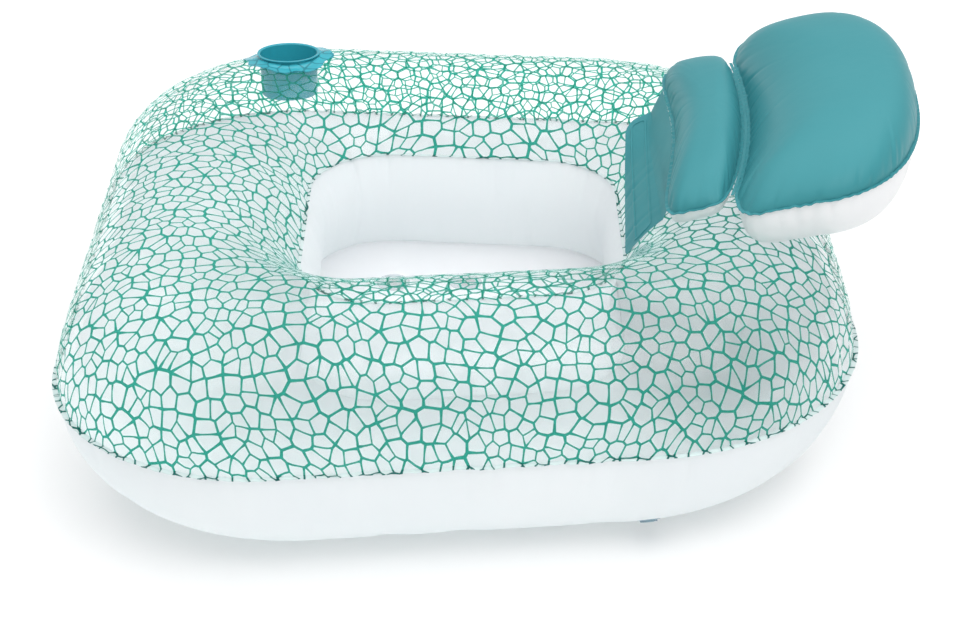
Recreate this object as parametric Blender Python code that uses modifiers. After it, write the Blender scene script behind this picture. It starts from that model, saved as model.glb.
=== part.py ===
"""Inflatable pool chair: an air ring with a sunken seat, a cup holder and a folding backrest.

Lengths are metres and +Z is up. The origin lies on the ground under the middle of the chair.
+X points to the backrest side, the knees rest over the -X side, and the cup holder is at +Y.
"""

import math

import bmesh
import bpy
from mathutils import Matrix, Vector
from mathutils.bvhtree import BVHTree

COLLECTION_NAME = "inflatable_pool_chair"

# Vinyl film and its welds
FILM = 0.0004
FIT_GAP = 0.0003
END_GAP = 0.0005
WELD_THICKNESS = 0.0010
WELD_INSIDE = 0.0020
OVERRUN = 0.05
MERGE_REACH = 0.00001

# Ring in plan, measured at its outer seam
RING_LENGTH = 1.080
FOOT_WIDTH = 1.164
BACK_WIDTH = 0.959
FOOT_CORNER = 0.276
BACK_CORNER = 0.324
OUTER_LIP = 0.0055

# Ring in section
SEAM_HEIGHT = 0.175
CREST_HEIGHT = 0.343
RIM_ANGLE = math.radians(155)
FOOT_TUBE = 0.314
BACK_TUBE = 0.310
SIDE_TUBE = 0.305
REST_DEPTH = 0.0005

# Seat well
WELL_CORNER = 0.120
WALL_BULGE = 0.022
RIM_LIP = 0.0030
FLOOR_HEIGHT = 0.095
FLOOR_LIP = 0.0060
DRAIN_RADIUS = 0.0125
DRAIN_RING_RADIUS = 0.0250
DRAIN_RING_THICKNESS = 0.0006
DRAIN_SPACING = 0.109
DRAIN_X = -0.049
DRAIN_Y = 0.100

# Cup holder, square to the tube where it stands
CUP_FROM_FOOT = 0.268
CUP_ANGLE = math.radians(90)
CUP_LEAN = math.radians(5)
CUP_RADIUS = 0.0455
CUP_BASE_RADIUS = 0.0440
CUP_WALL = 0.0012
CUP_DEPTH = 0.060
CUP_LIP_RADIUS = 0.0495
CUP_LIP_THICKNESS = 0.0016
COLLAR_RADIUS = 0.0680
COLLAR_THICKNESS = 0.0008
COLLAR_WAVE = 0.0035
COLLAR_WAVES = 11

# Flap that welds the backrest to the ring, and the line where it folds
HINGE_FROM_RIM = 0.055
FLAP_REACH = 0.046
FLAP_SLANT = 0.009
FLAP_HALF = 0.160
FLAP_MIDDLE = 0.045
FLAP_CORNER = 0.020
FLAP_LIFT = 0.0010
FLAP_RAMP = 0.0060
HINGE_RISE = 0.0016
HINGE_GAP = 0.0008
BEAD_INSET = 0.011
BEAD_SLANT = 0.005
BEAD_WIDTH = 0.0025
BEAD_THICKNESS = 0.0008
BEAD_LIFT = 0.0013
BEAD_CORNER_SHARE = 0.33

# Backrest, which lies a little askew on the ring
CREASE_FROM_HINGE = 0.0985
CREASE_SHIFT = 0.0105
BACKREST_TURN = -0.10
CREASE_RISE = 0.052
CREASE_HALF = 0.225
CREASE_BOW = 0.020
CREASE_WIDTH = 0.0070
CREASE_GAP = 0.0010
CUSHION_LIP = 0.0040

# Lumbar chamber, curved round the sitter's back
LUMBAR_HALF = 0.242
LUMBAR_MIDDLE_WIDTH = 0.072
LUMBAR_NEAR_WIDTH = 0.090
LUMBAR_FAR_WIDTH = 0.110
LUMBAR_FRONT_POWER = 4.0
LUMBAR_CREASE_POWER = 8.0
WEB_HALF = 0.185
WEB_GAP = 0.0006
LUMBAR_DROP = 0.030
LUMBAR_TOP_CROWN = 0.050
LUMBAR_BOTTOM_CROWN = 0.055
LUMBAR_CROWN_POWER = 2.6

# Head pillow
PILLOW_HALF = 0.297
PILLOW_INNER = 0.103
PILLOW_OUTER = 0.143
PILLOW_INNER_POWER = 9.0
PILLOW_OUTER_POWER = 2.2
PILLOW_RISE = 0.047
PILLOW_TOP_CROWN = 0.062
PILLOW_BOTTOM_CROWN = 0.112
PILLOW_CROWN_SHIFT = 0.070
PILLOW_CROWN_POWER = 3.2
REST_LIFT = 0.0065

# Air valves
RING_VALVE_FROM_BACK = 0.295
RING_VALVE_ANGLE = math.radians(58)
PILLOW_VALVE_SHARE = 0.62
VALVE_FLANGE_RADIUS = 0.0190
VALVE_FLANGE_THICKNESS = 0.0012
SOCKET_OUTER = 0.0105
SOCKET_INNER = 0.0090
SOCKET_DEPTH = 0.0040
STEM_INNER = 0.0062
STEM_DEPTH = 0.0140
STEM_COLLAR_RADIUS = 0.0102
STEM_COLLAR_THICKNESS = 0.0012
CAP_RADIUS = 0.0100
CAP_THICKNESS = 0.0014
PLUG_RADIUS = 0.0056
PLUG_TIP_RADIUS = 0.0046
PLUG_DEPTH = 0.0060
TAB_REACH = 0.0028
TAB_HALF = 0.0030
TAB_INSET = 0.0002
CHECK_RADIUS = 0.0080
CHECK_THICKNESS = 0.0008

# Fineness of the curved shapes
CORNER_STEPS = 8
SIDE_STEPS = 3
TOP_STEPS = 12
BOTTOM_STEPS = 5
WALL_STEPS = 5
CUSHION_STEPS = 40
CROWN_STEPS = 6
ROUND_STEPS = 32
VALVE_STEPS = 20
OUTLINE_SAMPLES = 720
CREASE_STEPS = 24
BEAD_STEPS = 72
WAVE_STEPS = 96
FLAP_COLUMNS = 24
WEB_SHARES = (0.0, 0.35, 0.7, 1.0)
FLAP_ROWS = 6

RIM_LOW_X = -RING_LENGTH / 2 + FOOT_TUBE
RIM_HIGH_X = RING_LENGTH / 2 - BACK_TUBE
HINGE_X = RIM_HIGH_X + HINGE_FROM_RIM
CREASE_X = HINGE_X + CREASE_FROM_HINGE
CREASE_HEIGHT = CREST_HEIGHT + CREASE_RISE
CUP_X = -RING_LENGTH / 2 + CUP_FROM_FOOT
RING_VALVE_X = RING_LENGTH / 2 - RING_VALVE_FROM_BACK
TOP_EDGE = SEAM_HEIGHT + WELD_THICKNESS / 2 + END_GAP
BOTTOM_EDGE = SEAM_HEIGHT - WELD_THICKNESS / 2 - END_GAP


def clear_scene():
    """Empties the file, so that the script can be run again in one session."""
    for item in list(bpy.data.objects):
        bpy.data.objects.remove(item, do_unlink=True)


def new_collection(name):
    """Adds a collection under the scene."""
    group = bpy.data.collections.new(name)
    bpy.context.scene.collection.children.link(group)
    return group


def vinyl(name, colour, roughness, alpha=1.0):
    """A plastic film or moulding with a plain Principled surface."""
    material = bpy.data.materials.new(name)
    material.use_nodes = True
    shader = material.node_tree.nodes["Principled BSDF"]
    shader.inputs["Base Color"].default_value = (*colour, 1.0)
    shader.inputs["Roughness"].default_value = roughness
    shader.inputs["Metallic"].default_value = 0.0
    shader.inputs["Alpha"].default_value = alpha
    material.diffuse_color = (*colour, alpha)
    return material


def add_object(name, mesh, material, group):
    """Links a mesh as a smooth object of the part."""
    item = bpy.data.objects.new(name, mesh)
    group.objects.link(item)
    if material:
        mesh.materials.append(material)
    mesh.shade_smooth()
    return item


def attach(item, parent, place=Matrix()):
    """Parents an object or an empty, and sets it at a place given in the ring's frame."""
    item.parent = parent
    item.matrix_basis = PLACES[parent.name].inverted() @ place
    return item


def add_pivot(name, parent, place):
    """An empty on a joint's axis, for what turns or slides there."""
    pivot = bpy.data.objects.new(name, None)
    bpy.context.scene.collection.objects.link(pivot)
    PLACES[name] = place
    if parent:
        attach(pivot, parent, place)
    return pivot


def add_film(item, thickness, offset=-1.0):
    """Gives an open sheet its thickness."""
    shell = item.modifiers.new("film", "SOLIDIFY")
    shell.thickness = thickness
    shell.offset = offset
    return item


def cut(item, cutter, operation="DIFFERENCE"):
    """Cuts an object with a closed mesh, or keeps only what lies inside it."""
    knife = item.modifiers.new(operation.lower(), "BOOLEAN")
    knife.operation = operation
    knife.object = cutter
    knife.solver = "EXACT"
    return item


def loft(name, rows, closed=True):
    """An open surface through rows of points, where a row of one point is a pole."""
    shape = bmesh.new()
    rings = [[shape.verts.new(point) for point in row] for row in rows]
    for low, high in zip(rings, rings[1:]):
        count = max(len(low), len(high))
        for here in range(count if closed else count - 1):
            beyond = (here + 1) % count
            corners = [low[here % len(low)], low[beyond % len(low)], high[beyond % len(high)], high[here % len(high)]]
            shape.faces.new(list(dict.fromkeys(corners)))
    mesh = bpy.data.meshes.new(name)
    shape.to_mesh(mesh)
    shape.free()
    return mesh


def flat_plate(name, loops, thickness, material):
    """A flat outline with its holes, as a filled curve with a thickness."""
    curve = bpy.data.curves.new(name, "CURVE")
    curve.dimensions = "2D"
    curve.fill_mode = "BOTH"
    curve.extrude = thickness / 2
    for loop in loops:
        line = curve.splines.new("POLY")
        line.points.add(len(loop) - 1)
        for point, place in zip(line.points, loop):
            point.co = (place[0], place[1], 0.0, 1.0)
        line.use_cyclic_u = True
    item = bpy.data.objects.new(name, curve)
    PART.objects.link(item)
    curve.materials.append(material)
    return item


def turned(name, profile, material, steps=ROUND_STEPS):
    """A closed profile of radius and height, turned round Z; its outer side runs downwards."""
    mesh = bpy.data.meshes.new(name)
    count = len(profile)
    on_axis = profile[0][0] == 0.0
    edges = [(here, (here + 1) % count) for here in range(count - 1 if on_axis else count)]
    mesh.from_pydata([(radius, 0.0, height) for radius, height in profile], edges, [])
    item = add_object(name, mesh, material, PART)
    lathe = item.modifiers.new("turn", "SCREW")
    lathe.axis = "Z"
    lathe.steps = steps
    lathe.render_steps = steps
    lathe.use_merge_vertices = True
    lathe.merge_threshold = MERGE_REACH
    return item


def round_cutter(name, radius, place, length=OVERRUN):
    """A closed cylinder that cuts a hole along its own Z."""
    shape = bmesh.new()
    bmesh.ops.create_cone(
        shape, cap_ends=True, segments=ROUND_STEPS, radius1=radius, radius2=radius, depth=2 * length
    )
    return add_cutter(name, shape, place)


def prism_cutter(name, loop, place, length=OVERRUN):
    """A closed upright prism on a flat outline."""
    shape = bmesh.new()
    base = shape.faces.new([shape.verts.new((x, y, -length)) for x, y in loop])
    raised = bmesh.ops.extrude_face_region(shape, geom=[base])["geom"]
    top = [part for part in raised if isinstance(part, bmesh.types.BMVert)]
    bmesh.ops.translate(shape, verts=top, vec=(0.0, 0.0, 2 * length))
    bmesh.ops.recalc_face_normals(shape, faces=shape.faces)
    return add_cutter(name, shape, place)


def add_cutter(name, shape, place):
    """Keeps a cutting shape in its own collection, out of the render."""
    mesh = bpy.data.meshes.new(name)
    shape.to_mesh(mesh)
    shape.free()
    cutter = add_object(name, mesh, None, CUTTERS)
    cutter.hide_render = True
    cutter.display_type = "WIRE"
    return attach(cutter, CHAIR, place)


def circle(radius, steps=ROUND_STEPS, centre=(0.0, 0.0)):
    """Points round a circle."""
    turns = [2 * math.pi * step / steps for step in range(steps)]
    return [(centre[0] + radius * math.cos(turn), centre[1] + radius * math.sin(turn)) for turn in turns]


def evenly(loop, count):
    """Points at equal distances round a closed outline."""
    ends = loop[1:] + loop[:1]
    lengths = [(Vector(end) - Vector(start)).length for start, end in zip(loop, ends)]
    pace = sum(lengths) / count
    points, passed, index = [], 0.0, 0
    for step in range(count):
        while passed + lengths[index] < step * pace:
            passed += lengths[index]
            index += 1
        share = (step * pace - passed) / lengths[index]
        points.append(Vector(loop[index]).lerp(Vector(ends[index]), share))
    return points


def widened(loop, distance):
    """The outline moved outwards in plan, for points that run counter-clockwise."""
    moved = []
    for before, here, after in zip(loop[-1:] + loop[:-1], loop, loop[1:] + loop[:1]):
        along = (Vector(after) - Vector(before)).to_2d().normalized()
        step = Vector((along.y, -along.x)) * distance
        moved.append(Vector(here) + (step.to_3d() if len(here) == 3 else step))
    return moved


def tree_of(mesh):
    """A surface that rays can be cast on, to seat one piece on another."""
    return BVHTree.FromPolygons([v.co for v in mesh.vertices], [face.vertices[:] for face in mesh.polygons])


def rounded_outline(low_x, high_x, low_half, high_half, low_radius, high_radius):
    """A four-sided outline with round corners, narrower at one end, counter-clockwise."""
    slant = math.atan2(low_half - high_half, high_x - low_x)
    square = math.pi / 2
    low_y = low_half - low_radius * (1 + math.sin(slant)) / math.cos(slant)
    high_y = high_half - high_radius * (1 - math.sin(slant)) / math.cos(slant)
    corners = (
        (low_x + low_radius, -low_y, low_radius, -math.pi, slant - square),
        (high_x - high_radius, -high_y, high_radius, slant - square, 0.0),
        (high_x - high_radius, high_y, high_radius, 0.0, square - slant),
        (low_x + low_radius, low_y, low_radius, square - slant, math.pi),
    )
    arcs = []
    for x, y, radius, start, end in corners:
        angles = [start + (end - start) * step / CORNER_STEPS for step in range(CORNER_STEPS + 1)]
        arcs.append([Vector((x + radius * math.cos(turn), y + radius * math.sin(turn))) for turn in angles])
    outline = []
    for arc, following in zip(arcs, arcs[1:] + arcs[:1]):
        side = [arc[-1].lerp(following[0], step / SIDE_STEPS) for step in range(1, SIDE_STEPS)]
        outline += arc + side
    return outline


def share_at(angle):
    """How far across the tube a section angle lies, from the outer seam at 0 to the rim at 1."""
    return (1 - math.cos(angle)) / (1 - math.cos(RIM_ANGLE))


def across(share):
    """The ring's plan outline at a share of the way from the outer seam to the rim."""
    return [outer.lerp(inner, share) for outer, inner in zip(SEAM_OUTLINE, RIM_OUTLINE)]


def level(outline, height):
    """A plan outline lifted to a height."""
    return [Vector((point.x, point.y, height)) for point in outline]


def top_height(angle):
    """Height of the ring's upper film at a section angle."""
    return TOP_EDGE + (CREST_HEIGHT - TOP_EDGE) * math.sin(angle)


def bottom_height(angle):
    """Height of the ring's lower film, pressed flat where the chair stands."""
    return max(0.0, BOTTOM_EDGE - (BOTTOM_EDGE + REST_DEPTH) * math.sin(angle))


def half_width(x):
    """Half of the ring's width at its outer seam, corners left square."""
    share = (x + RING_LENGTH / 2) / RING_LENGTH
    return (FOOT_WIDTH + (BACK_WIDTH - FOOT_WIDTH) * share) / 2


def rim_outline():
    """The seat well's rim in plan."""
    low_half = half_width(RIM_LOW_X) - SIDE_TUBE
    high_half = half_width(RIM_HIGH_X) - SIDE_TUBE
    return rounded_outline(RIM_LOW_X, RIM_HIGH_X, low_half, high_half, WELL_CORNER, WELL_CORNER)


def top_rows():
    """Rows of the ring's clear upper film, from the outer seam to the rim."""
    angles = [RIM_ANGLE * step / TOP_STEPS for step in range(TOP_STEPS + 1)]
    return [level(across(share_at(angle)), top_height(angle)) for angle in angles]


def bottom_angles():
    """Section angles of the lower film, with one at each edge of its flat band."""
    flat = math.asin(BOTTOM_EDGE / (BOTTOM_EDGE + REST_DEPTH))
    end_height = FLOOR_HEIGHT - WELD_THICKNESS / 2 - END_GAP
    end = math.pi - math.asin((BOTTOM_EDGE - end_height) / (BOTTOM_EDGE + REST_DEPTH))
    outer = [flat * step / BOTTOM_STEPS for step in range(BOTTOM_STEPS + 1)]
    inner = [math.pi - flat + (end - math.pi + flat) * step / BOTTOM_STEPS for step in range(BOTTOM_STEPS + 1)]
    return outer + inner


def make_ring():
    """The ring's four sheets, its welds and the drain rings."""
    rows = top_rows()
    top = add_object("ring_top_sheet", loft("ring_top_sheet", rows), CLEAR_VINYL, PART)
    attach(add_film(top, FILM), CHAIR)
    angles = bottom_angles()
    lower = [level(across(share_at(angle)), bottom_height(angle)) for angle in reversed(angles)]
    bottom = add_object("ring_bottom_sheet", loft("ring_bottom_sheet", lower), WHITE_VINYL, PART)
    attach(add_film(bottom, FILM), CHAIR)

    rim_height = top_height(RIM_ANGLE) - END_GAP - WELD_THICKNESS / 2
    floor_outline = across(share_at(angles[-1]))
    wall_top = rim_height - WELD_THICKNESS / 2 - END_GAP
    wall_foot = FLOOR_HEIGHT + WELD_THICKNESS / 2 + END_GAP
    wall_rows = []
    for step in range(WALL_STEPS + 1):
        share = step / WALL_STEPS
        outline = [rim.lerp(foot, share) for rim, foot in zip(RIM_OUTLINE, floor_outline)]
        bulged = widened(outline, -WALL_BULGE * math.sin(math.pi * share))
        wall_rows.append(level(bulged, wall_top + (wall_foot - wall_top) * share))
    wall = add_object("well_wall_sheet", loft("well_wall_sheet", wall_rows), WHITE_VINYL, PART)
    attach(add_film(wall, FILM), CHAIR)

    welds = (
        ("ring_outer_seam", SEAM_OUTLINE, OUTER_LIP, -WELD_INSIDE, SEAM_HEIGHT, CLEAR_VINYL),
        ("well_rim_seam", RIM_OUTLINE, WELD_INSIDE, -RIM_LIP, rim_height, WHITE_VINYL),
        ("well_floor_seam", floor_outline, WELD_INSIDE, -FLOOR_LIP, FLOOR_HEIGHT, WHITE_VINYL),
    )
    for name, outline, outwards, inwards, height, material in welds:
        loops = [widened(outline, outwards), widened(outline, inwards)]
        seam = flat_plate(name, loops, WELD_THICKNESS, material)
        attach(seam, CHAIR, Matrix.Translation((0.0, 0.0, height)))

    drains = [(DRAIN_X - DRAIN_SPACING / 2, DRAIN_Y), (DRAIN_X + DRAIN_SPACING / 2, DRAIN_Y)]
    holes = [circle(DRAIN_RADIUS, ROUND_STEPS, centre) for centre in drains]
    floor_edge = widened(floor_outline, -FLOOR_LIP - FIT_GAP)
    floor = flat_plate("seat_floor_sheet", [floor_edge] + holes, FILM, WHITE_VINYL)
    attach(floor, CHAIR, Matrix.Translation((0.0, 0.0, FLOOR_HEIGHT)))
    ring_height = FLOOR_HEIGHT + FILM / 2 + FIT_GAP + DRAIN_RING_THICKNESS / 2
    for number, (x, y) in enumerate(drains, 1):
        loops = [circle(DRAIN_RING_RADIUS), circle(DRAIN_RADIUS)]
        washer = flat_plate(f"drain_ring_{number}", loops, DRAIN_RING_THICKNESS, WHITE_VINYL)
        attach(washer, CHAIR, Matrix.Translation((x, y, ring_height)))
    return top, bottom, rows, lower


def frame_on(tree, origin, direction, up):
    """A place on a surface, hit along a direction, with its Z along the face's normal."""
    point, normal, _, _ = tree.ray_cast(origin, direction)
    if normal.dot(direction) > 0:
        normal = -normal
    side = up.cross(normal).normalized()
    ahead = normal.cross(side)
    axes = Matrix((side, ahead, normal)).transposed()
    return Matrix.Translation(point) @ axes.to_4x4()


def make_cup_holder(top_sheet, rows):
    """The drink holder that hangs in the tube, and the wavy collar that carries it."""
    share = share_at(CUP_ANGLE)
    far_seam = half_width(CUP_X)
    cup_y = far_seam - share * SIDE_TUBE
    tree = tree_of(loft("cup_guide", rows))
    above = Vector((CUP_X, cup_y, CREST_HEIGHT + OVERRUN))
    seat = tree.ray_cast(above, Vector((0.0, 0.0, -1.0)))[0]
    place = Matrix.Translation(seat) @ Matrix.Rotation(-CUP_LEAN, 4, "X")

    highest = 0.0
    for x, y in circle(CUP_LIP_RADIUS) + circle(CUP_RADIUS):
        start = place @ Vector((x, y, OVERRUN))
        hit = tree.ray_cast(start, place.to_3x3() @ Vector((0.0, 0.0, -1.0)))[0]
        highest = max(highest, (place.inverted() @ hit).z)
    lip = highest + FIT_GAP + COLLAR_THICKNESS + FIT_GAP

    hole = round_cutter("cup_hole", CUP_RADIUS + FIT_GAP, place)
    cut(top_sheet, hole)

    collar = add_object("cup_holder_collar", loft("cup_holder_collar", rows), CUP_VINYL, PART)
    lift = collar.modifiers.new("lift", "DISPLACE")
    lift.direction = "NORMAL"
    lift.mid_level = 0.0
    lift.strength = FIT_GAP
    add_film(collar, COLLAR_THICKNESS, 1.0)
    attach(collar, CHAIR)
    wave = []
    for step in range(WAVE_STEPS):
        turn = 2 * math.pi * step / WAVE_STEPS
        radius = COLLAR_RADIUS + COLLAR_WAVE * math.cos(COLLAR_WAVES * turn)
        wave.append((radius * math.cos(turn), radius * math.sin(turn)))
    cut(collar, prism_cutter("collar_edge", wave, place), "INTERSECT")
    cut(collar, hole)

    inner, base = CUP_RADIUS - CUP_WALL, CUP_BASE_RADIUS - CUP_WALL
    rounding = CUP_LIP_THICKNESS / 2
    profile = (
        (0.0, -CUP_DEPTH + CUP_WALL),
        (base - CUP_WALL, -CUP_DEPTH + CUP_WALL),
        (base, -CUP_DEPTH + 2 * CUP_WALL),
        (inner, lip),
        (inner + rounding, lip + CUP_LIP_THICKNESS),
        (CUP_LIP_RADIUS - rounding, lip + CUP_LIP_THICKNESS),
        (CUP_LIP_RADIUS, lip + rounding),
        (CUP_LIP_RADIUS - rounding, lip),
        (CUP_RADIUS, lip),
        (CUP_BASE_RADIUS, -CUP_DEPTH + CUP_WALL),
        (CUP_BASE_RADIUS - CUP_WALL, -CUP_DEPTH),
        (0.0, -CUP_DEPTH),
    )
    attach(turned("cup_holder_cup", profile, CUP_VINYL), CHAIR, place)


def make_valve(prefix, parent, sheet, place, material):
    """An air valve: its welded flange, the stem that pulls out, the cap and the check flap."""
    cut(sheet, round_cutter(f"{prefix}_hole", SOCKET_OUTER + FIT_GAP, place))
    flange_top = FIT_GAP + VALVE_FLANGE_THICKNESS
    base = (
        (SOCKET_INNER, flange_top),
        (VALVE_FLANGE_RADIUS - VALVE_FLANGE_THICKNESS, flange_top),
        (VALVE_FLANGE_RADIUS, FIT_GAP),
        (SOCKET_OUTER, FIT_GAP),
        (SOCKET_OUTER, -SOCKET_DEPTH),
        (SOCKET_INNER, -SOCKET_DEPTH),
    )
    attach(turned(f"{prefix}_base", base, material, VALVE_STEPS), parent, place)

    stem_low = flange_top + FIT_GAP
    stem_top = stem_low + STEM_COLLAR_THICKNESS
    stem_outer = SOCKET_INNER - FIT_GAP
    stem = (
        (STEM_INNER, stem_top),
        (STEM_COLLAR_RADIUS, stem_top),
        (STEM_COLLAR_RADIUS, stem_low),
        (stem_outer, stem_low),
        (stem_outer, -STEM_DEPTH),
        (STEM_INNER, -STEM_DEPTH),
    )
    slide = add_pivot(f"{prefix}_stem_slide", parent, place)
    ear_reach = STEM_COLLAR_RADIUS + TAB_REACH
    neck = turned(f"{prefix}_stem", stem, material, VALVE_STEPS)
    attach(neck, slide, place)
    cut(neck, tab_block(f"{prefix}_ear", ear_reach, STEM_COLLAR_RADIUS, stem_low, stem_top, place), "UNION")

    cap_low = stem_top + FIT_GAP
    cap_top = cap_low + CAP_THICKNESS
    cap = (
        (0.0, cap_top),
        (CAP_RADIUS - CAP_THICKNESS / 2, cap_top),
        (CAP_RADIUS, cap_low + CAP_THICKNESS / 2),
        (CAP_RADIUS, cap_low),
        (PLUG_RADIUS, cap_low),
        (PLUG_TIP_RADIUS, cap_low - PLUG_DEPTH),
        (0.0, cap_low - PLUG_DEPTH),
    )
    cap_hinge = Matrix.Translation((-ear_reach, 0.0, cap_low - FIT_GAP / 2))
    lid_pivot = add_pivot(f"{prefix}_cap_hinge", slide, place @ cap_hinge)
    lid = turned(f"{prefix}_cap", cap, material, VALVE_STEPS)
    attach(lid, lid_pivot, place)
    cut(lid, tab_block(f"{prefix}_tab", ear_reach, CAP_RADIUS, cap_low, cap_top, place), "UNION")

    check_top = -STEM_DEPTH - FIT_GAP
    check = (
        (0.0, check_top),
        (CHECK_RADIUS, check_top),
        (CHECK_RADIUS, check_top - CHECK_THICKNESS),
        (0.0, check_top - CHECK_THICKNESS),
    )
    check_hinge = Matrix.Translation((-CHECK_RADIUS, 0.0, check_top + FIT_GAP / 2))
    leaf_pivot = add_pivot(f"{prefix}_check_hinge", slide, place @ check_hinge)
    attach(turned(f"{prefix}_check_flap", check, material, VALVE_STEPS), leaf_pivot, place)


def tab_block(name, reach, radius, low, high, place):
    """A small ear on a round collar, at its -X side, that a hinge line passes."""
    root = radius - TAB_HALF
    shape = bmesh.new()
    bmesh.ops.create_cube(shape, size=1.0)
    size = Matrix.Diagonal((reach - root, 2 * TAB_HALF, high - low - 2 * TAB_INSET, 1.0))
    middle = Matrix.Translation((-(reach + root) / 2, 0.0, (low + high) / 2))
    bmesh.ops.transform(shape, matrix=middle @ size, verts=shape.verts)
    return add_cutter(name, shape, place)


def make_flap(tree):
    """The welded flap on the ring's inner slope, raised to a straight fold line."""
    spread = [-math.cos(math.pi * step / FLAP_COLUMNS) for step in range(FLAP_COLUMNS + 1)]
    columns = [FLAP_MIDDLE + FLAP_HALF * share for share in spread]

    def seated(x, y, lift):
        above = Vector((x, y, CREST_HEIGHT + OVERRUN))
        point, normal, _, _ = tree.ray_cast(above, Vector((0.0, 0.0, -1.0)))
        return point + normal * lift

    fold_height = max(seated(HINGE_X, y, HINGE_RISE).z for y in columns)
    fold = [Vector((HINGE_X - HINGE_GAP / 2, y, fold_height)) for y in columns]
    rows = [[] for _ in range(FLAP_ROWS + 1)]
    for share, y in zip(spread, columns):
        past = max(0.0, abs(share) * FLAP_HALF - FLAP_HALF + FLAP_CORNER)
        corner = FLAP_CORNER - math.sqrt(FLAP_CORNER ** 2 - past ** 2)
        left = HINGE_X - FLAP_REACH + FLAP_SLANT * share + corner
        for step, row in enumerate(rows):
            x = left + (HINGE_X - FLAP_RAMP - left) * step / FLAP_ROWS
            row.append(seated(x, y, FLAP_LIFT + FILM))
    flap = loft("backrest_anchor_flap", rows + [fold], closed=False)
    item = add_object("backrest_anchor_flap", flap, TEAL_VINYL, PART)
    attach(add_film(item, FILM, 1.0), CHAIR)

    low_x = HINGE_X - FLAP_REACH + BEAD_INSET
    high_x = HINGE_X - FLAP_RAMP - BEAD_WIDTH - BEAD_SLANT
    half = FLAP_HALF - BEAD_INSET
    radius = (high_x - low_x) * BEAD_CORNER_SHARE
    frame = rounded_outline(low_x, high_x, half, half, radius, radius)
    path = evenly(frame, BEAD_STEPS)
    lift = FLAP_LIFT + FILM + BEAD_LIFT
    sides = []
    for distance in (BEAD_WIDTH / 2, -BEAD_WIDTH / 2):
        side = []
        for point in widened(path, distance):
            side.append(seated(point.x + BEAD_SLANT * point.y / half, point.y + FLAP_MIDDLE, lift))
        sides.append(side)
    bead = add_object("anchor_weld_bead", loft("anchor_weld_bead", sides), TEAL_VINYL, PART)
    attach(add_film(bead, BEAD_THICKNESS, 1.0), CHAIR)
    return columns, fold_height


def unit_point(turn, powers):
    """A point of a rounded square of half-size 1, with a power for its -X side and one for its +X side."""
    a, b = math.cos(turn), math.sin(turn)
    power = powers[0] if a < 0 else powers[1]
    reach = (abs(a) ** power + abs(b) ** power) ** (-1 / power)
    return a * reach, b * reach


def even_stations(place, powers):
    """Unit points that lie evenly round the real outline."""
    turns = [2 * math.pi * step / OUTLINE_SAMPLES for step in range(OUTLINE_SAMPLES)]
    units = [unit_point(turn, powers) for turn in turns]
    loop = [Vector(place(a, b, 1.0)) for a, b in units]
    lengths = [(end - start).length for start, end in zip(loop, loop[1:] + loop[:1])]
    pace = sum(lengths) / CUSHION_STEPS
    chosen, passed, index = [], 0.0, 0
    for step in range(CUSHION_STEPS):
        while passed + lengths[index] < step * pace:
            passed += lengths[index]
            index += 1
        chosen.append(units[index])
    return chosen


def crease_line(y):
    """How far the crease bows away from the sitter, by its place along the crease."""
    return CREASE_BOW * max(0.0, 1 - (y / CREASE_HALF) ** 2)


def lumbar_sides(y):
    """Front edge and crease edge of the chamber that bends round the small of the back."""
    share = y / LUMBAR_HALF
    end_width = LUMBAR_FAR_WIDTH if y > 0 else LUMBAR_NEAR_WIDTH
    width = LUMBAR_MIDDLE_WIDTH + (end_width - LUMBAR_MIDDLE_WIDTH) * share * share
    back = -CREASE_WIDTH / 2 - FIT_GAP - CUSHION_LIP
    return back - width, back + crease_line(y)


def lumbar_place(a, b, r):
    """Plan of the lumbar chamber; r shrinks it to its middle."""
    y = b * r * LUMBAR_HALF
    front, back = lumbar_sides(y)
    return front + (back - front) * (1 + a * r) / 2, y


def lumbar_seam(x, y):
    """Height of the lumbar chamber's seam, which falls towards the seat well."""
    front, back = lumbar_sides(y)
    return CREASE_HEIGHT - LUMBAR_DROP * (back - x) / (back - front)


def pillow_place(a, b, r):
    """Plan of the head pillow; its crown stands outward of its middle."""
    y = b * r * PILLOW_HALF
    edge = CREASE_GAP / 2 + CUSHION_LIP
    reach = PILLOW_OUTER if a > 0 else PILLOW_INNER - crease_line(y)
    return edge + PILLOW_INNER + a * r * reach + PILLOW_CROWN_SHIFT * (1 - r), y


def pillow_seam(x, y):
    """Height of the pillow's seam, which rises from the crease and levels out."""
    near = CREASE_GAP / 2 + crease_line(y)
    far = CREASE_GAP / 2 + CUSHION_LIP + PILLOW_INNER + PILLOW_OUTER
    return CREASE_HEIGHT + PILLOW_RISE * (1 - ((far - x) / (far - near)) ** 2)


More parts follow.
